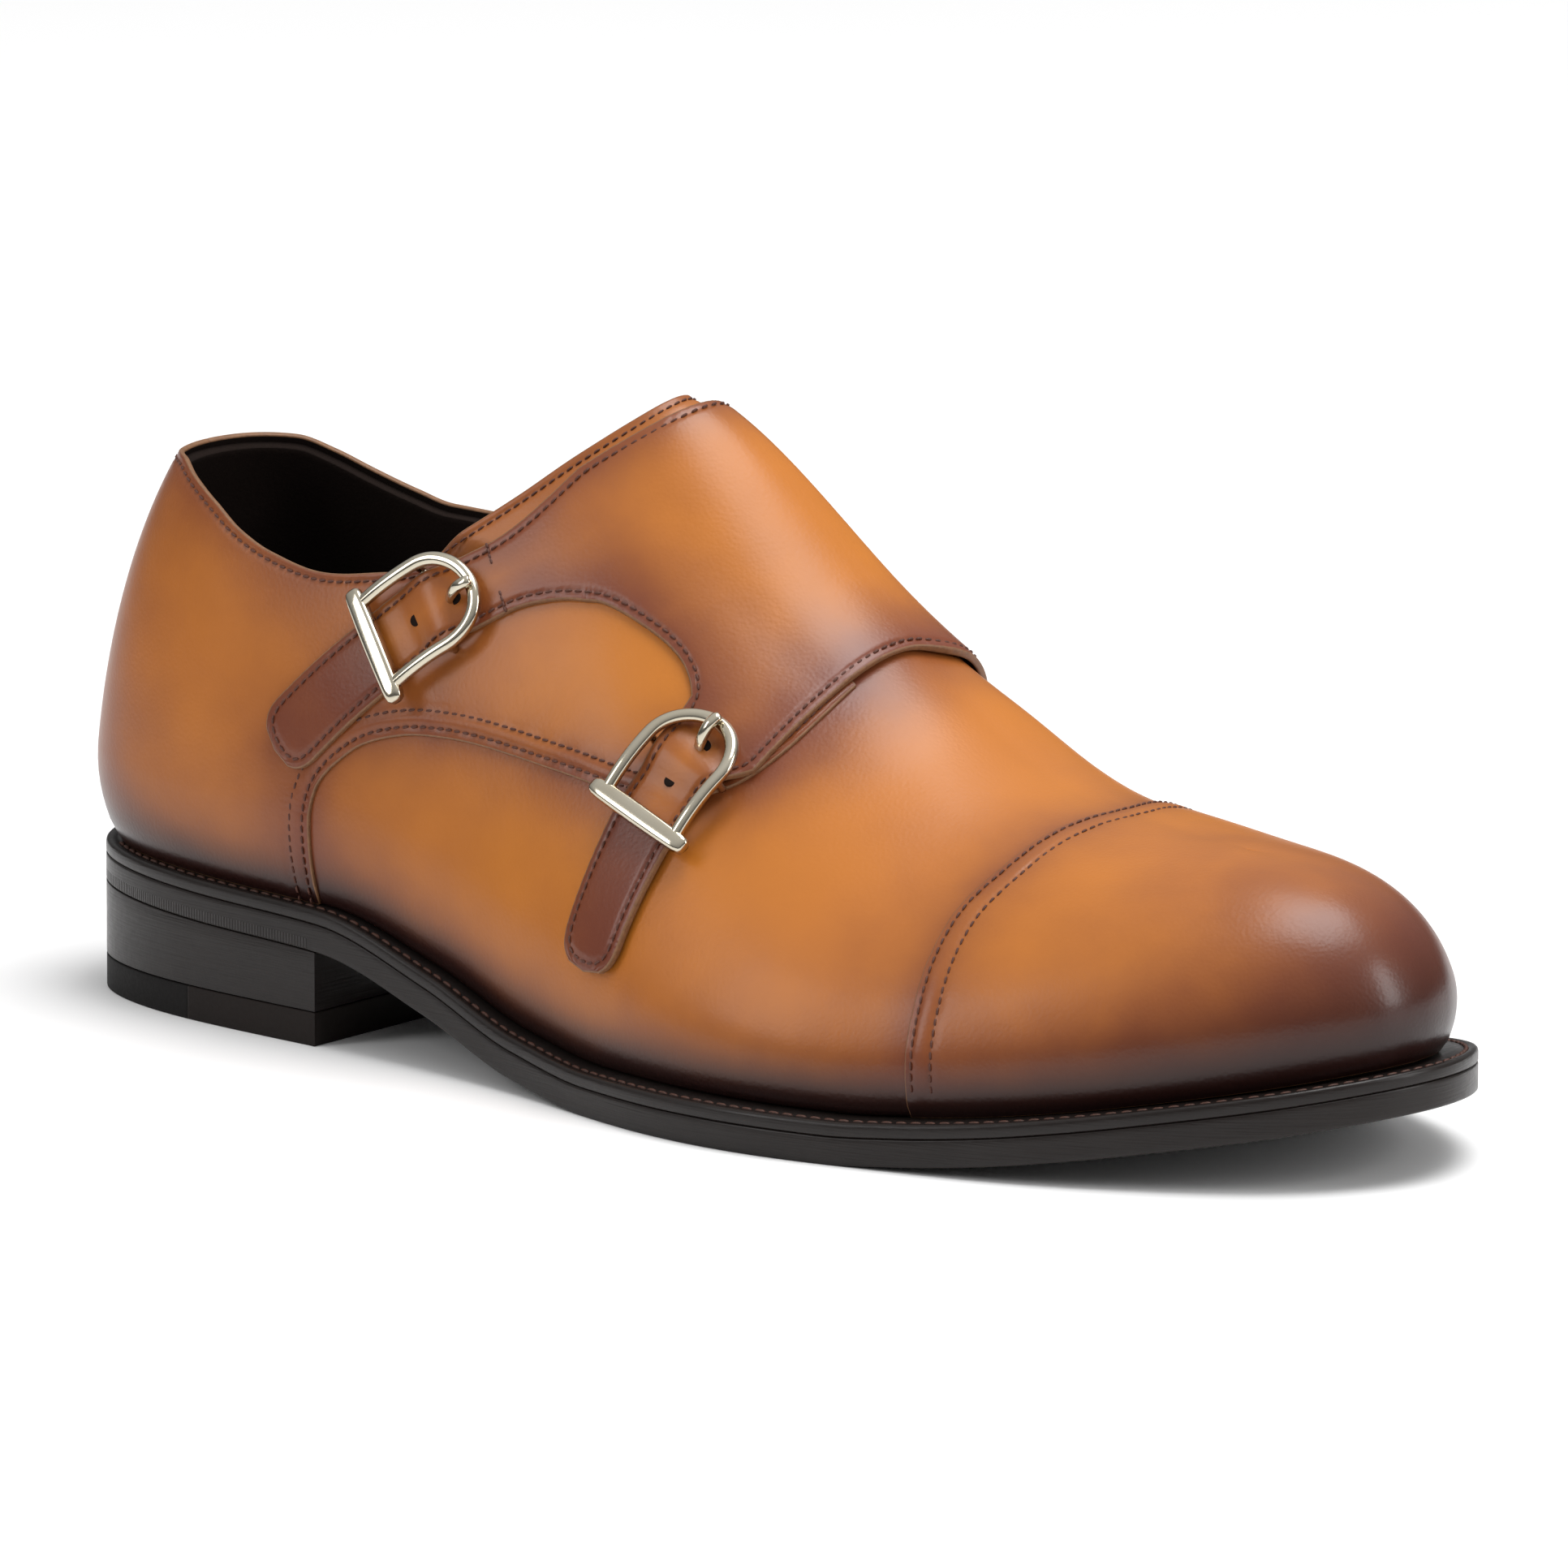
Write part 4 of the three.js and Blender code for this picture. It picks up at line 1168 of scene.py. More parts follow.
def flap_end(s):
    """The flap's end at its straps: root of the upper one, arc, root of the lower one."""
    s = np.asarray(s, float)
    top, front = np.array(FLAP_TOP_EDGE[-1]), np.array(FLAP_FRONT_EDGE[-1])
    arc = smooth_curve(ARC_BETWEEN_STRAPS, np.clip((s - ROOT_SHARES[0]) / (8 / 18), 0, 1))
    a = np.clip(s / ROOT_SHARES[0], 0, 1)[:, None]
    b = np.clip((s - ROOT_SHARES[1]) / (5 / 18), 0, 1)[:, None]
    upper = top + (np.array(ARC_BETWEEN_STRAPS[0]) - top) * a
    lower = np.array(ARC_BETWEEN_STRAPS[-1]) + (front - np.array(ARC_BETWEEN_STRAPS[-1])) * b
    low, high = (s <= ROOT_SHARES[0])[:, None], (s >= ROOT_SHARES[1])[:, None]
    return np.where(low, upper, np.where(high, lower, arc))


def flap_body(f, s):
    """Grid of places of the flap: f from its medial end to its straps, s across."""
    a, b = smooth_curve(FLAP_TOP_EDGE, f), smooth_curve(FLAP_FRONT_EDGE, f)
    top, front = np.array(FLAP_TOP_EDGE[-1]), np.array(FLAP_FRONT_EDGE[-1])
    bend = flap_end(s) - (top + (front - top) * s[:, None])
    return between(a, b, s) + (f**3)[:, None, None] * bend[None]


class StrapLine:
    """The middle line of a strap, with a frame at any length along it."""

    def __init__(self, name):
        self.name = name
        self.places = smooth_curve(STRAP_MIDDLES[name], np.linspace(0, 1, 161))
        self.points = form(self.places[:, 0], self.places[:, 1])
        self.lengths = arc_length(self.points)
        self.length = self.lengths[-1]
        self.out = form_normal(self.places[:, 0], self.places[:, 1])
        along = np.gradient(self.points, axis=0)
        self.along = unit(along - (along * self.out).sum(-1, keepdims=True) * self.out)

    def at(self, table, s):
        return rows_at(s, self.lengths, table)

    def place(self, s, q):
        """Pattern places s along the strap and q to its side."""
        s, q = np.broadcast_arrays(np.asarray(s, float), np.asarray(q, float))
        out = unit(self.at(self.out, s.ravel()))
        side = np.cross(out, unit(self.at(self.along, s.ravel())))
        target = self.at(self.points, s.ravel()) + side * q.ravel()[:, None]
        return to_places(target, self.at(self.places, s.ravel())).reshape(*s.shape, 2)

    def hump(self, s):
        """The strap's rise where it runs over the buckle's centre bar."""
        away = np.abs(s - (END_BAR_PLACE[self.name] - CENTRE_BAR_PLACE)) / HUMP_REACH
        return np.where(away < 1, HUMP_HEIGHT * np.cos(np.minimum(away, 1) * math.pi / 2) ** 2, 0)

    def buckle(self, p, q, h):
        """Points p from the end bar to the round front, q sideways and h up. The buckle is
        stiff: arched along the strap and straight across it."""
        p, q, h = np.broadcast_arrays(np.asarray(p, float), q, h)
        a, b, c = self.at(self.points, self.buckle_stops())
        f = (p / BUCKLE_ARCH)[..., None]
        middle = a * (1 - f) * (1 - 2 * f) + b * 4 * f * (1 - f) + c * f * (2 * f - 1)
        _, side, out = self.buckle_axes()
        return middle + side * q[..., None] + out * h[..., None]

    def buckle_stops(self):
        return END_BAR_PLACE[self.name] - np.array([0, 0.5, 1]) * BUCKLE_ARCH

    def buckle_axes(self):
        """The buckle's ways along the strap, sideways and out."""
        start, _, end = self.at(self.points, self.buckle_stops())
        along = unit(start - end)
        out = self.at(self.out, self.buckle_stops()).sum(0)
        side = unit(np.cross(out, along))
        return along, side, np.cross(along, side)


def strap_grid(line, root):
    """Rows of places of a strap from its root to its rounded tip, with their lifts."""
    tip = line.length
    s = np.concatenate(
        [
            np.arange(1.0, tip - STRAP_HALF, 1.1),
            tip - STRAP_HALF * np.cos(np.linspace(0, math.pi / 2, 14)),
        ]
    )
    across = 2 * strap_shares() - 1
    x = np.clip((tip - s) / STRAP_HALF, 0, 1)
    width = np.maximum((1 - (1 - x) ** 2.6) ** (1 / 2.6), 0.0) * STRAP_HALF
    grid = line.place(s[:, None], width[:, None] * across[None])
    keep = np.maximum(1 - s / ROOT_BLEND[line.name], 0)[:, None, None] ** 1.6
    straight = line.place(np.zeros(len(root)), across * STRAP_HALF)
    grid = grid + (root - straight)[None] * keep
    grid = np.concatenate([root[None], grid])
    lift = np.concatenate([[0], line.hump(s)])
    return grid, np.repeat(lift[:, None], len(root), 1)


def strap_shares():
    return graded(STRAP_WIDTH, fine=0.32, band=2.6, coarse=1.0)


# ---- Pieces ----------------------------------------------------------------------------------


def build_vamp():
    """The lasted shell: vamp outside, suede lining inside, open at the top and underneath."""
    sheet = Leather()
    stations = np.unique(
        np.concatenate([np.linspace(0, STATIONS, 175), [THROAT_STATION, QUARTER_BACK[0]]])
    )
    for side, sign in (("lateral", -1), ("medial", 1)):
        top = np.where(
            stations >= THROAT_STATION, 0, np.abs(opening_place(side, stations)) + 0.012
        )
        start = np.column_stack([stations, sign * np.ones(len(stations))])
        end = np.column_stack([stations, sign * top])
        sheet.block(between(start, end, np.linspace(0, 1, 62)))
    sheet.join()
    seams = [(seam_to_welt(side), 0.66, 11.0) for side in ("lateral", "medial")]
    seams.append((path(CAP_SEAM), 0.55, 10.0))
    seams.append((path(FLAP_FRONT_EDGE), 0.5, 11.0))
    masks = burnish(sheet.surface, sheet.where, seams)
    # Soft pulls of the vamp where it is drawn over the instep.
    x, y = sheet.surface[:, 0], sheet.surface[:, 1]
    ripple = 0.16 * np.sin((x - 0.35 * y) / 4.6) * ridge(x, 188, 15)
    ripple = ripple * smoothstep(0.75, 0.2, np.abs(sheet.where[:, 1]))
    obj = sheet.build(
        "upper_shell", SHELL, [upper_calf(), lining(), lining()],
        high=ripple, masks=masks, edge=0.15,
    )
    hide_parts("upper")


def build_quarter(side):
    """A quarter, laid over the vamp from its seam to the heel and the topline."""
    sign = -1 if side == "lateral" else 1
    sheet = Leather()
    back = np.linspace(0, 1, 88) * QUARTER_BACK[0]
    last = graded(7, band=2.5, ends=(False, True))[1:]  # fine cells where the seam's rows turn
    back = np.concatenate([back[:-3], back[-4] + (back[-1] - back[-4]) * last])
    shares_low = graded(16, coarse=1.8, band=1.0, ends=(False, False))
    shares_up = graded(58, fine=0.5, band=6.0, coarse=1.9)
    low_row = np.column_stack([back, np.full(len(back), sign * 1.0)])
    mid_row = np.column_stack([back, np.full(len(back), sign * QUARTER_BACK[1])])
    top_row = np.column_stack([back, opening_place(side, back)])
    sheet.block(between(low_row, mid_row, shares_low))
    sheet.block(between(mid_row, top_row, shares_up))
    seam = quarter_seam(side, 1.2)
    seam[0] = (QUARTER_BACK[0], sign * QUARTER_BACK[1])
    least = abs(QUARTER_SEAM[side][-1][1])  # a quarter ends this far from the ridge
    ends = sign * np.maximum(np.abs(opening_place(side, seam[:, 0])), least)
    sheet.block(between(seam, np.column_stack([seam[:, 0], ends]), shares_up))
    sheet.join()
    inset, second = mm(sizes().stitch_inset), mm(sizes().second_row)
    edge, top_edge = seam_to_welt(side), topline(side)
    rows = [beside(edge, -sign * inset), beside(edge, -sign * second)]
    rows.append(beside(top_edge, sign * inset))
    lift = furrows(sheet.surface, rows, mm(sizes().furrow))
    near = distance_to(sheet.surface, edge)
    # The edge is skived thin, and the leather swells a little between the two rows.
    lift = lift - 0.3 * ridge(near, 0, 0.8) + 0.12 * ridge(near, 2.9, 0.9)
    lift = lift - 0.45 * smoothstep(0.965, 1.0, np.abs(sheet.where[:, 1]))
    seams = [(edge, 0.72, 11.0), (top_edge, 0.66, 15.0)]
    if side == "lateral":
        for name in ("upper", "lower"):
            line = StrapLine(name)
            seams.append((line.place(np.linspace(8, line.length, 40), 0.0), 0.5, 11.0))
    else:
        seams.append((path(FLAP_FRONT_EDGE), 0.5, 9.0))
    masks = burnish(sheet.surface, sheet.where, seams)
    sheet.build(
        "quarter_" + side, OVERLAY, [upper_calf(), edge_calf(), lining()],
        high=lift, masks=masks, edge=0.3,
    )
    return rows


def build_cap():
    """The toe cap, laid over the vamp."""
    sheet = Leather()
    girths = np.linspace(-1, 1, 141)
    seam = smooth_curve(CAP_SEAM, np.linspace(0, 1, 800))
    order = np.argsort(seam[:, 1])
    start = np.interp(girths, seam[order, 1], seam[order, 0])
    shares = graded(92, fine=0.5, band=6.5, coarse=1.6, ends=(True, False))
    # Stations lie closer together at the toe, so places follow the length along the shoe.
    stations = np.linspace(0, STATIONS, 400)
    x = last_x(stations)
    low_x = np.interp(start, stations, x)
    grid_x = low_x[:, None] + (x[-1] - low_x)[:, None] * shares[None]
    grid_v = np.repeat(girths[:, None], len(shares), 1)
    sheet.block(np.stack([np.interp(grid_x, x, stations), grid_v], -1))
    sheet.join()
    edge = resample(seam[40:-40], 1.0)
    rows = [beside(edge, -inset) for inset in CAP_ROWS]
    lift = furrows(sheet.surface, rows, mm(sizes().furrow) * 0.9)
    near = distance_to(sheet.surface, edge)
    lift = lift - 0.35 * ridge(near, 0, 0.9) + 0.1 * ridge(near, 3.1, 1.1)
    lift = lift - 0.4 * smoothstep(0.965, 1.0, np.abs(sheet.where[:, 1]))
    masks = burnish(sheet.surface, sheet.where, [(edge, 0.62, 10.0)])
    sheet.build(
        "toe_cap", CAP, [upper_calf(), edge_calf(), lining()],
        high=lift, masks=masks, edge=0.2,
    )
    return rows


def build_flap():
    """The monk flap with its two straps, cut in one piece."""
    shares = strap_shares()
    upper, lower = shares * ROOT_SHARES[0], ROOT_SHARES[1] + shares * (1 - ROOT_SHARES[1])
    s = np.unique(np.concatenate([upper, np.linspace(*ROOT_SHARES, 40), lower]).round(9))
    f = graded(150, fine=0.45, band=4.0, coarse=1.3, ends=(False, True))
    sheet = Leather()
    body = flap_body(f, s)
    sink = np.repeat(smoothstep(0.32, 0.02, f)[:, None], len(s), 1)
    sheet.block(body, -FLAP_SINK * sink)
    count = len(shares)
    lines = {name: StrapLine(name) for name in STRAP_MIDDLES}
    strap_edges = {}
    for name, root in (("upper", body[-1, :count]), ("lower", body[-1, -count:])):
        grid, lift = strap_grid(lines[name], root)
        sheet.block(grid, lift)
        strap_edges[name] = [grid[1:, 0], grid[:0:-1, -1]]
    sheet.join()
    fine = np.linspace(0, 1, 400)
    top = resample(smooth_curve(FLAP_TOP_EDGE, fine[20:]), 1.0)
    front = resample(smooth_curve(FLAP_FRONT_EDGE, fine[4:]), 1.0)
    arc = resample(smooth_curve(ARC_BETWEEN_STRAPS, fine), 1.0)
    # Whole outlines: along the flap, down a strap, round its tip and back to the arc.
    outline = [top, *strap_edges["upper"], arc, *strap_edges["lower"], front[::-1]]
    outline = resample(np.concatenate(outline), 0.8)
    row = beside(outline, mm(sizes().stitch_inset))
    lift = furrows(sheet.surface, [row], mm(sizes().furrow))
    near = distance_to(sheet.surface, outline)
    lift = lift - 0.3 * ridge(near, 0, 0.7)
    seams = [(outline, 0.72, 9.5), (arc, 0.55, 18.0), (front, 0.45, 17.0)]
    masks = burnish(sheet.surface, sheet.where, seams)
    # Straps are burnished darker past the end bar, and paler inside the buckle.
    for name, line in lines.items():
        middle = line.place(np.linspace(0, line.length, 60), 0.0)
        on = distance_to(sheet.surface, middle) < STRAP_HALF + 0.6
        along = line.lengths[nearest(sheet.surface, line.points)[1]]
        tail = on & (along > END_BAR_PLACE[name] - 1)
        window = on & (along > END_BAR_PLACE[name] - 19) & ~tail
        masks["burn"] = np.where(tail, 0.85, masks["burn"])
        masks["dark"] = np.where(tail, 0.25, masks["dark"])
        masks["burn"] = np.where(window, masks["burn"] * 0.75, masks["burn"])
    # The instep's folds run down the flap.
    x, y = sheet.surface[:, 0], sheet.surface[:, 1]
    folds = 0.22 * np.sin(y / 3.4 + x / 60) * smoothstep(-22, -8, y) * smoothstep(26, 14, y)
    obj = sheet.build(
        "monk_flap_and_straps", FLAP, [upper_calf(), edge_calf(), lining()],
        high=lift + folds * smoothstep(0.3, 0.15, np.abs(sheet.where[:, 1])),
        masks=masks, edge=0.35,
    )
    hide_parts("monk_flap")

    def height(places):
        _, near = nearest(form(places[:, 0], places[:, 1]), sheet.surface)
        return FLAP[1] - THREAD_SINK + sheet.lift[near]

    return row, lines, height


def build_tongue():
    """The tongue, whose stitched edge shows beyond the flap."""
    edge = beside(path(TONGUE_EDGE, 1.2), 0.0)  # moved nowhere, but its turns are rounded
    girths = edge[:, 1]
    end = np.column_stack([7.3 - 1.5 * girths**2, girths * 0.9])
    shares = graded(60, fine=0.5, band=5.0, coarse=2.2, ends=(True, False))
    sheet = Leather()
    sheet.block(between(edge, end, shares))
    sheet.join()
    near = distance_to(sheet.surface, edge)
    rows = [beside(edge, -TONGUE_INSET)]
    sink = np.maximum(
        smoothstep(6.0, 22.0, near), smoothstep(0.34, 0.4, np.abs(sheet.where[:, 1]))
    )
    lift = furrows(sheet.surface, rows, mm(sizes().furrow))
    sheet.lift = -2.6 * sink
    masks = burnish(sheet.surface, sheet.where, [(edge, 0.55, 7.0)])
    obj = sheet.build(
        "tongue_leather", TONGUE, [upper_calf(), edge_calf(), lining()],
        high=lift, masks=masks, edge=0.3,
    )
    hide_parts("tongue")
    return rows


def stitches(name, rows, height, pitch=None, **options):
    pitch = pitch or mm(sizes().stitch_pitch)
    points, faces = join_tubes([stitch_row(row, height, pitch, **options) for row in rows])
    piece(name, points, faces, [upper_thread()])


def sole_footprint(t):
    return sole_x(t), sole_y(t)


def feather_line(inset):
    def at(t):
        foot = on_last(np.asarray(t, float), np.zeros(np.shape(t)))
        spine = np.stack([spine_x(t), spine_y(t)], -1)
        inward = unit(spine - foot[..., :2])
        line = foot[..., :2] + inward * inset
        return line[..., 0], line[..., 1]

    return at


def add_from_back(obj):
    """A mask of the distance from the back of the heel."""
    co = np.zeros(len(obj.data.vertices) * 3, np.float32)
    obj.data.vertices.foreach_get("co", co)
    add_mask(obj.data, "from_back", (co[::3] - ORIGIN[0]) / MM)


def sole_dressing():
    c = colours()
    return material_named("sole_edge_dressing", edge_dressing, c.edge, c.edge_light, True)


def stack_dressing():
    c = colours()
    return material_named("heel_dressing", edge_dressing, c.edge, c.edge_light)


def build_outsole():
    turns = np.linspace(0, STATIONS, 180)
    obj = slab(
        "outsole_leather", sole_footprint, turns, underside, lambda x: underside(x) + OUTSOLE_TOP,
        [sole_dressing()], edge=0.45,
    )
    add_from_back(obj)
    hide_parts("outsole")


def build_heel():
    turns = np.linspace(0, HEEL_STATION, 60)
    obj = slab(
        "heel_lifts", sole_footprint, turns, lambda x: 0 * x + TOP_LIFT + 0.15,
        lambda x: underside(x) - 0.05, [stack_dressing()], edge=0.2,
    )
    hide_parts("heel_stack")
    c = colours()
    obj = slab(
        "top_lift_rubber_piece", sole_footprint, turns, lambda x: 0 * x,
        lambda x: 0 * x + TOP_LIFT, [material_named("moulded_rubber", rubber, c)],
        edge=0.3,
    )
    add_from_back(obj)
    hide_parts("top_lift")


def build_insock():
    turns = np.linspace(0, STATIONS, 120)
    obj = slab(
        "insock", feather_line(2.4), turns, lambda x: underside(x) + WELT_LOW,
        lambda x: underside(x) + SOLE_EDGE + 1.6, [lining()], edge=0.8,
    )
    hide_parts("insole")


def welt_lines(t):
    """The welt's outer and inner lines round the foot, the way in and the width between."""
    outer, inner = (np.stack(line(t), -1) for line in (sole_footprint, feather_line(FEATHER)))
    return outer, inner, unit(inner - outer), np.linalg.norm(inner - outer, axis=1)


def build_welt():
    """The welt: a rounded outer edge, a furrow for its stitches and a lip under the upper."""
    t = np.linspace(0, AROUND, 720, endpoint=False)
    outer, inner, inward, width = welt_lines(t)
    top, inset = SOLE_EDGE, mm(sizes().welt_inset)
    # (distance in from the edge, height above the underside)
    section = [
        (0.25, WELT_LOW), (0, WELT_LOW + 0.3), (0, top - 0.95), (0.12, top - 0.45),
        (0.4, top - 0.15), (0.8, top), (inset - 0.7, top), (inset - 0.35, top - 0.22),
        (inset, top - 0.3), (inset + 0.35, top - 0.22), (inset + 0.75, top),
    ]
    points = []
    for distance, height in section:
        reach = np.minimum(distance, width * 0.55 + distance * 0.1)
        flat = outer + inward * reach[:, None]
        points.append(np.column_stack([flat, underside(flat[:, 0]) + height]))
    for height in (top, WELT_LOW):
        points.append(np.column_stack([inner, underside(inner[:, 0]) + height]))
    count, rings = len(t), len(points)
    faces = []
    for k in range(rings):
        m = (k + 1) % rings
        for i in range(count):
            j = (i + 1) % count
            faces.append([k * count + i, k * count + j, m * count + j, m * count + i])
    obj = piece("welt_leather", np.concatenate(points), faces, [stack_dressing()])
    merge_near(obj, 0.001)
    obj.data.set_sharp_from_angle(angle=math.radians(60))
    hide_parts("welt")


def build_welt_stitches():
    """Heavy lock stitches along the welt, from one side of the heel round to the other."""
    t = np.linspace(1.6, AROUND - 2.2, 4000)
    outer, _, inward, width = welt_lines(t)
    reach = np.minimum(mm(sizes().welt_inset), width * 0.5)
    flat = outer + inward * reach[:, None]
    line = np.column_stack([flat, underside(flat[:, 0]) + SOLE_EDGE - 0.1])
    length = arc_length(line)
    count = int(length[-1] / mm(sizes().welt_pitch))
    at = np.linspace(0, length[-1], count)
    middles = rows_at(at, length, line)
    tangent = unit(np.gradient(middles, axis=0))
    up = np.array([0.0, 0.0, 1.0])
    points, faces = join_tubes([
        stitch(p, way, up, 2.3, (0.42, 0.3), 0.3, steps=7, taper=0.85, sides=8)
        for p, way in zip(middles, tangent)
    ])
    c = colours()
    material = material_named("welt_thread", thread, c.edge_light, c.thread_light)
    piece("welt_stitching", points, faces, [material])


def build_buckle(name, line):
    """A buckle: bow, tapered end bar and centre bar in one, and its prong."""
    half, wire, height, length = 8.9, 1.3, BUCKLE_HEIGHT, 24.0
    bend = length - wire - half
    straight = np.linspace(0, bend, 8)
    angle = np.linspace(0, math.pi, 30)[1:-1]
    p = np.concatenate([straight, bend + half * np.sin(angle), straight[::-1]])
    q = np.concatenate([np.full(8, -half), -half * np.cos(angle), np.full(8, half)])
    arch = height + 0.5 * np.sin(np.clip(p / length, 0, 1) * math.pi)
    points = smooth_points(line.buckle(p, q, arch), 96)
    strap_way, _, out = line.buckle_axes()
    normals = np.repeat(out[None], len(points), 0)
    parts = [tube(points, normals, np.tile([1.3, 1.1], (len(points), 1)), 20, 0.9)]
    ends = line.buckle(np.array([0.0, 0.0]), np.array([-12.2, 12.2]), height)
    share = np.array([0, 0.02, 0.06, 0.12, 0.3, 0.5, 0.7, 0.88, 0.94, 0.98, 1.0])
    bar = ends[0] + (ends[1] - ends[0]) * share[:, None]
    size = np.array([0.55, 0.85, 1.0, 1.06, 1.12, 1.14, 1.12, 1.06, 1.0, 0.85, 0.55])
    radii = np.column_stack([size * 1.75, size * 1.35])
    parts.append(tube(bar, np.repeat(out[None], len(bar), 0), radii, 28, 0.6))
    low = 1.1
    drop = np.array([
        [-half, height], [-half + 0.1, 2.6], [-half + 0.9, low], [0, low],
        [half - 0.9, low], [half - 0.1, 2.6], [half, height],
    ])
    bar = smooth_points(line.buckle(np.full(7, CENTRE_BAR_PLACE), drop[:, 0], drop[:, 1]), 40)
    along = np.repeat(strap_way[None], len(bar), 0)
    parts.append(tube(bar, along, np.tile([0.8, 0.8], (len(bar), 1)), 14))
    material = material_named("polished_nickel", nickel, colours())
    points, faces = join_tubes(parts)
    obj = piece("buckle_frame_" + name + "_plated", points, faces, [material])
    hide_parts("buckle_frame_" + name)
    rest = height + wire + 0.75
    route = np.array([
        [CENTRE_BAR_PLACE + 1.2, 1.2], [HOLE_PLACE - 1.2, 2.6], [HOLE_PLACE + 0.6, 4.8],
        [HOLE_PLACE + 2.8, rest - 0.35], [length - 1.5, rest], [length - 0.4, rest - 0.05],
    ])
    curve = smooth_points(line.buckle(route[:, 0], np.zeros(6), route[:, 1]), 40)
    normals = np.repeat(out[None], len(curve), 0)
    taper = np.interp(np.linspace(0, 1, len(curve)), [0, 0.94, 1.0], [1, 0.96, 0.7])
    points, faces = tube(curve, normals, np.column_stack([taper * 1.15, taper * 0.9]), 16, 0.8)
    obj = piece("buckle_prong_" + name + "_plated", points, faces, [material])
    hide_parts("buckle_prong_" + name)


def build_strap_hole_shades(lines):
    """The punched holes, not cut: near-black suede discs on the straps, painted shade for the
    holes' shaded insides, with a dark pressed ring at the rim.
    """
    made = []
    for name, line in lines.items():
        for place, wide in ((SPARE_HOLE_PLACE, 1.2), (HOLE_PLACE - 0.6, 1.55)):
            s = END_BAR_PLACE[name] - place
            u, v = line.place(s, 0.0)
            base = form(u, v, FLAP[1] + float(line.hump(s)))
            curve = base + np.outer([-0.5, -0.1, 0.04, 0.05], form_normal(u, v))
            radii = np.outer([1.0, 1.0, 0.95, 0.8], [wide, wide])
            along = np.repeat(line.at(line.along, [s]), 4, 0)
            made.append(tube(curve, along, radii, 20))
    points, faces = join_tubes(made)
    # the discs' near-black suede is painted shade standing in for the inside of each hole
    piece("strap_hole_shades", points, faces, [lining()])


def build_tacks(line):
    """The bar tack where the flap leaves the medial quarter, and the short rows that hold
    the elastic of the upper buckle."""
    u, v = 6.93, 0.55
    girth = float(girth_length(u, v))
    rows = [
        np.array([(u + step, v - 3.5 / girth), (u + step, v + 3 / girth)])
        for step in (-0.05, 0, 0.05)
    ]
    stitches("medial_bar_tack", rows, OVERLAY[1] + 0.15, pitch=1.5, radius=0.28)
    s = END_BAR_PLACE["upper"] - 26.5
    rows = [line.place(s, np.linspace(*ends, 8)) for ends in ((-6.8, -3.4), (3.4, 6.8))]
    stitches("elastic_tacks", rows, FLAP[1] - 0.05, pitch=1.2, length=1.2, radius=0.28)


# ---- Stage -----------------------------------------------------------------------------------


def floor_material(name):
    material, tree, shader = new_material(name, Specular_IOR_Level=0.25)
    cloud = noise(tree, 3.0, 2.0, 0.5)
    tree.links.new(
        mix_colour(tree, cloud, (0.93, 0.93, 0.93, 1), (0.95, 0.95, 0.95, 1)),
        shader.inputs["Base Color"],
    )
    tree.links.new(mix_value(tree, cloud, 0.5, 0.55), shader.inputs["Roughness"])
    return material


def area_light(name, place, aim, size, power):
    light = bpy.data.lights.new(name, "AREA")
    light.shape = "RECTANGLE"
    light.size, light.size_y = size
    light.energy = power
    obj = bpy.data.objects.new(name, light)
    obj.location = place
    obj.rotation_mode = "QUATERNION"
    obj.rotation_quaternion = (Vector(aim) - Vector(place)).to_track_quat("-Z", "Y")
    bpy.context.scene.collection.objects.link(obj)


CAMERA_AZIMUTH, CAMERA_ELEVATION, CAMERA_DISTANCE = 38.3, 11.85, 4.0
CAMERA_TARGET = (150.0, 0.0, 45.0)  # what its place is measured from, on the form
CAMERA_AIM = (151.5, 0.0, 53.5)
LENS = 500.0


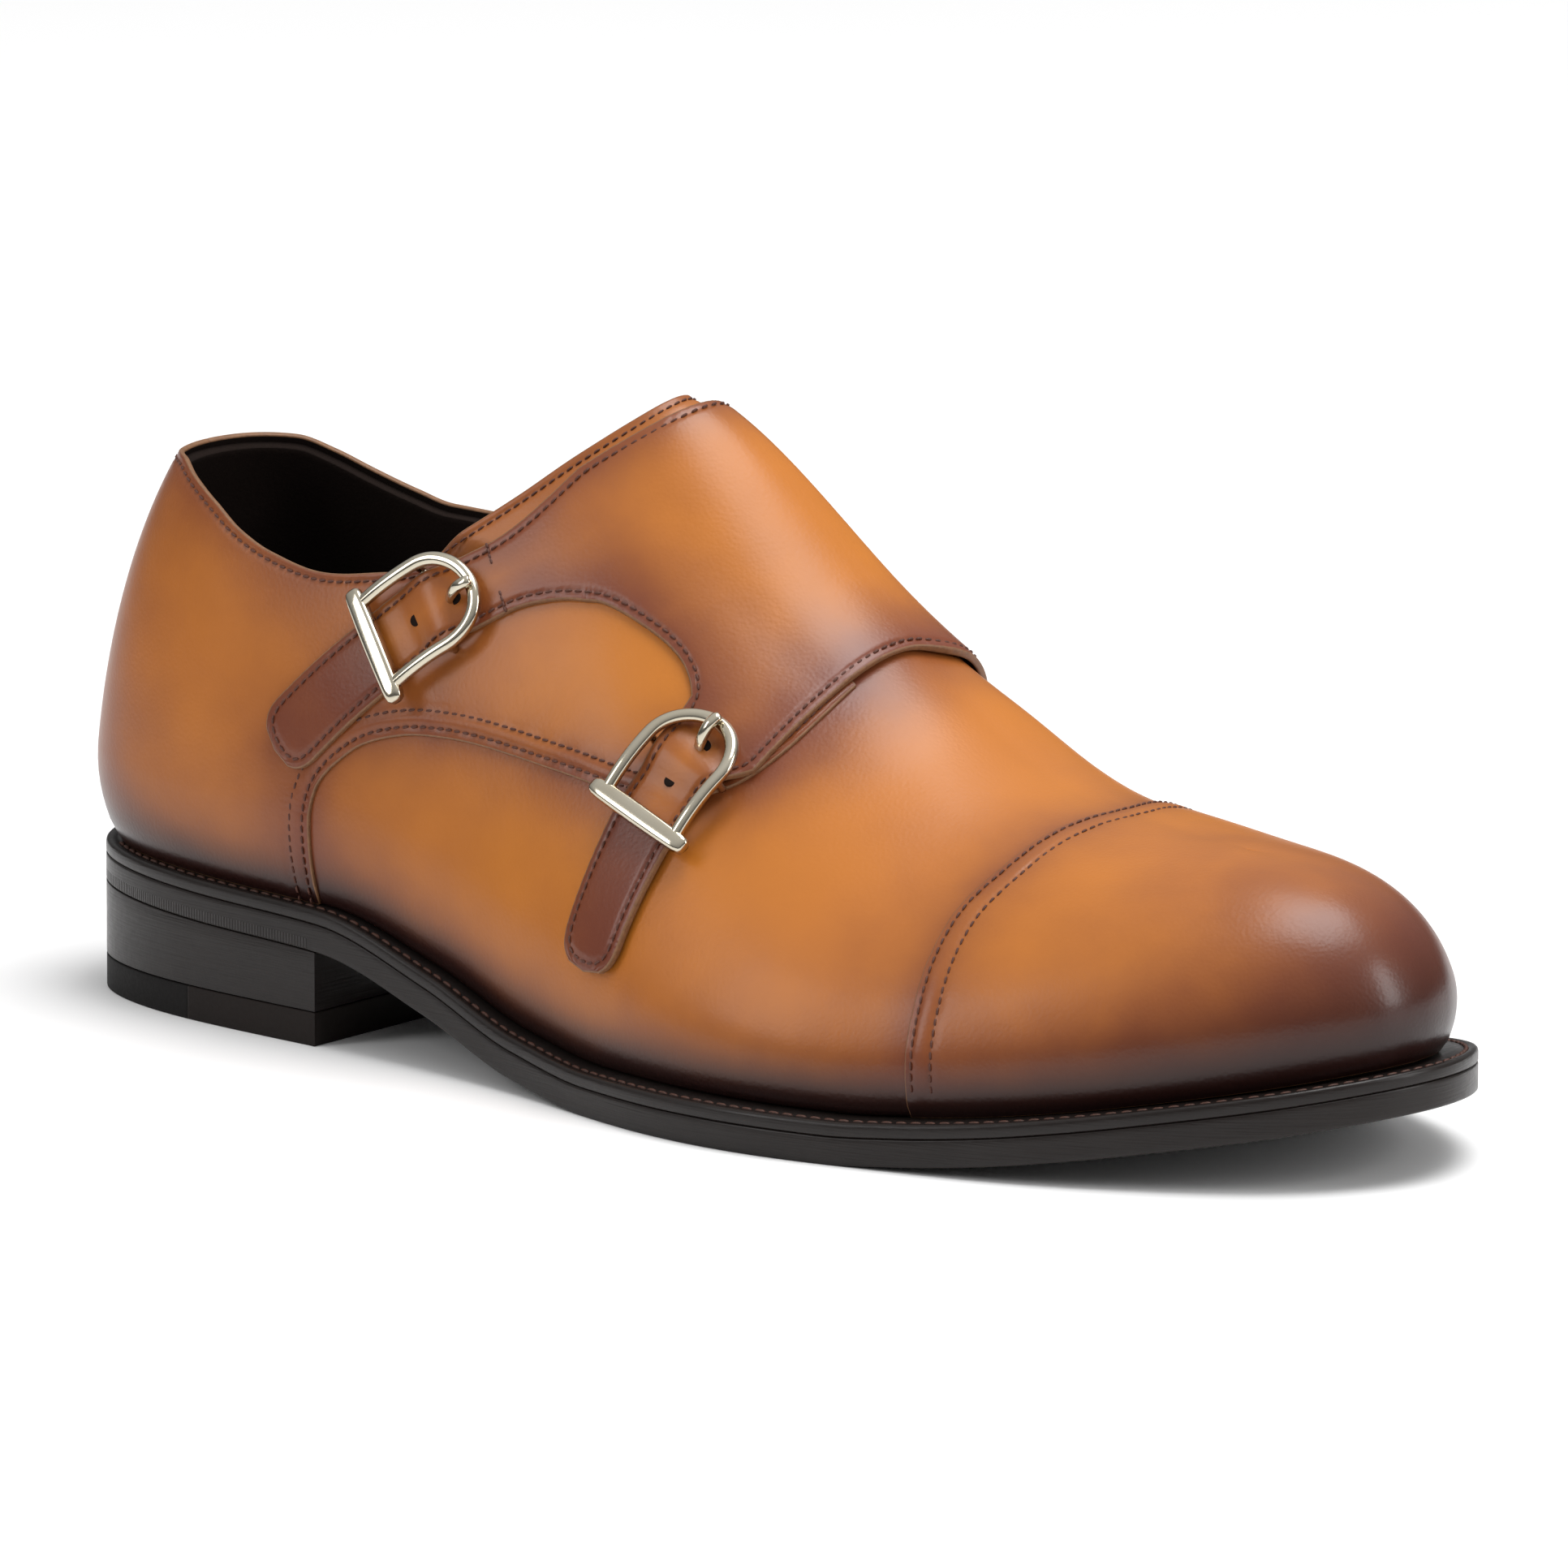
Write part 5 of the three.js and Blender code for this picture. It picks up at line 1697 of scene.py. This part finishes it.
def build_stage():
    scene = bpy.context.scene
    half = 6.0
    mesh = bpy.data.meshes.new("floor")
    mesh.from_pydata(
        [(-half, -half, 0), (half, -half, 0), (half, half, 0), (-half, half, 0)],
        [],
        [(0, 1, 2, 3)],
    )
    mesh.materials.append(floor_material("pale_floor"))
    floor = bpy.data.objects.new("floor", mesh)
    scene.collection.objects.link(floor)

    world = bpy.data.worlds.new("studio")
    world.use_nodes = True
    tree = world.node_tree
    background = tree.nodes["Background"]
    background.inputs["Color"].default_value = (1, 1, 1, 1)
    # The studio is dim along its walls and bright overhead.
    way = add(tree, "ShaderNodeTexCoord").outputs["Generated"]
    up = add(tree, "ShaderNodeSeparateXYZ", {"Vector": way}).outputs["Z"]
    strength = add(
        tree,
        "ShaderNodeMapRange",
        {"Value": up, "From Min": 0.05, "From Max": 1.0, "To Min": 0.08, "To Max": 0.86},
    ).outputs["Result"]
    tree.links.new(strength, background.inputs["Strength"])
    scene.world = world
    sun = bpy.data.lights.new("overhead_sun", "SUN")
    sun.energy, sun.angle = 1.05, math.radians(35)
    overhead = bpy.data.objects.new("overhead_sun", sun)
    overhead.rotation_euler = (math.radians(-8), math.radians(12), 0)
    scene.collection.objects.link(overhead)
    area_light("top_softbox", (0.25, 0.15, 1.4), (0, 0, 0.05), (1.1, 0.7), 10)
    area_light("toe_softbox", (1.25, 0.35, 0.55), (0.05, 0, 0.05), (0.35, 0.8), 6)
    area_light("side_softbox", (-0.7, -1.2, 0.8), (0, 0, 0.05), (0.45, 0.8), 5)

    a, e = math.radians(CAMERA_AZIMUTH), math.radians(CAMERA_ELEVATION)
    back = Vector((math.sin(a) * math.cos(e), -math.cos(a) * math.cos(e), math.sin(e)))
    target = Vector(np.array(CAMERA_TARGET) * MM + ORIGIN)
    aim = Vector(np.array(CAMERA_AIM) * MM + ORIGIN)
    data = bpy.data.cameras.new("camera")
    data.sensor_width = 36.0
    data.lens = LENS
    data.clip_start, data.clip_end = 0.1, 50.0
    camera = bpy.data.objects.new("camera", data)
    camera.location = target + back * CAMERA_DISTANCE
    camera.rotation_mode = "QUATERNION"
    camera.rotation_quaternion = (aim - camera.location).to_track_quat("-Z", "Y")
    scene.collection.objects.link(camera)
    scene.camera = camera
    scene.view_settings.view_transform = "Standard"


# ---- Operators -------------------------------------------------------------------------------


class SHOE_OT_sole(Operator):
    """Build the outsole, the welt, the heel and the insock"""

    bl_idname = "shoe.sole"
    bl_label = "Sole and heel"

    def execute(self, context):
        build_outsole()
        build_heel()
        build_insock()
        build_welt()
        build_welt_stitches()
        return {"FINISHED"}


class SHOE_OT_upper(Operator):
    """Build the lasted shell, the quarters and the toe cap with their stitching"""

    bl_idname = "shoe.upper"
    bl_label = "Upper"

    def execute(self, context):
        build_vamp()
        rows = []
        for side in ("lateral", "medial"):
            rows += build_quarter(side)
        stitches("quarter_stitching", rows, OVERLAY[1] - THREAD_SINK)
        stitches("toe_cap_stitching", build_cap(), CAP[1] - THREAD_SINK)
        return {"FINISHED"}


class SHOE_OT_tongue(Operator):
    """Build the tongue with its stitched edge"""

    bl_idname = "shoe.tongue"
    bl_label = "Tongue"

    def execute(self, context):
        stitches("tongue_stitching", build_tongue(), TONGUE[1] - THREAD_SINK)
        return {"FINISHED"}


class SHOE_OT_flap(Operator):
    """Build the monk flap with its straps, their stitching, and near-black discs painted as the
    shade of their holes
    """

    bl_idname = "shoe.flap"
    bl_label = "Monk flap and straps"

    def execute(self, context):
        row, lines, height = build_flap()
        stitches("flap_stitching", [row], height)
        build_strap_hole_shades(lines)
        build_tacks(lines["upper"])
        return {"FINISHED"}


class SHOE_OT_buckles(Operator):
    """Build both buckles with their prongs"""

    bl_idname = "shoe.buckles"
    bl_label = "Buckles"

    def execute(self, context):
        for name in STRAP_MIDDLES:
            build_buckle(name, StrapLine(name))
        return {"FINISHED"}


class SHOE_OT_stage(Operator):
    """Set the floor, the soft lights and the camera"""

    bl_idname = "shoe.stage"
    bl_label = "Stage"

    def execute(self, context):
        build_stage()
        return {"FINISHED"}


OPERATORS = [
    SHOE_OT_sole, SHOE_OT_upper, SHOE_OT_tongue, SHOE_OT_flap, SHOE_OT_buckles, SHOE_OT_stage,
]


class SHOE_PT_panel(Panel):
    """Sizes, colours and the steps that build the shoe"""

    bl_label = "Shoe"
    bl_idname = "SHOE_PT_panel"
    bl_space_type = "VIEW_3D"
    bl_region_type = "UI"
    bl_category = "Shoe"

    def draw(self, context):
        layout = self.layout
        for group in (context.scene.shoe_sizes, context.scene.shoe_colours):
            for key in group.__annotations__:
                layout.prop(group, key)
        for operator in OPERATORS:
            layout.operator(operator.bl_idname)


CLASSES = [ShoeSizes, ShoeColours, *OPERATORS, SHOE_PT_panel]


def register():
    for cls in CLASSES:
        bpy.utils.register_class(cls)
    bpy.types.Scene.shoe_sizes = PointerProperty(type=ShoeSizes)
    bpy.types.Scene.shoe_colours = PointerProperty(type=ShoeColours)


def unregister():
    del bpy.types.Scene.shoe_colours
    del bpy.types.Scene.shoe_sizes
    for cls in reversed(CLASSES):
        bpy.utils.unregister_class(cls)


def main():
    register()
    bpy.ops.shoe.sole()
    bpy.ops.shoe.upper()
    bpy.ops.shoe.tongue()
    bpy.ops.shoe.flap()
    bpy.ops.shoe.buckles()
    bpy.ops.shoe.stage()


if __name__ == "__main__":
    main()
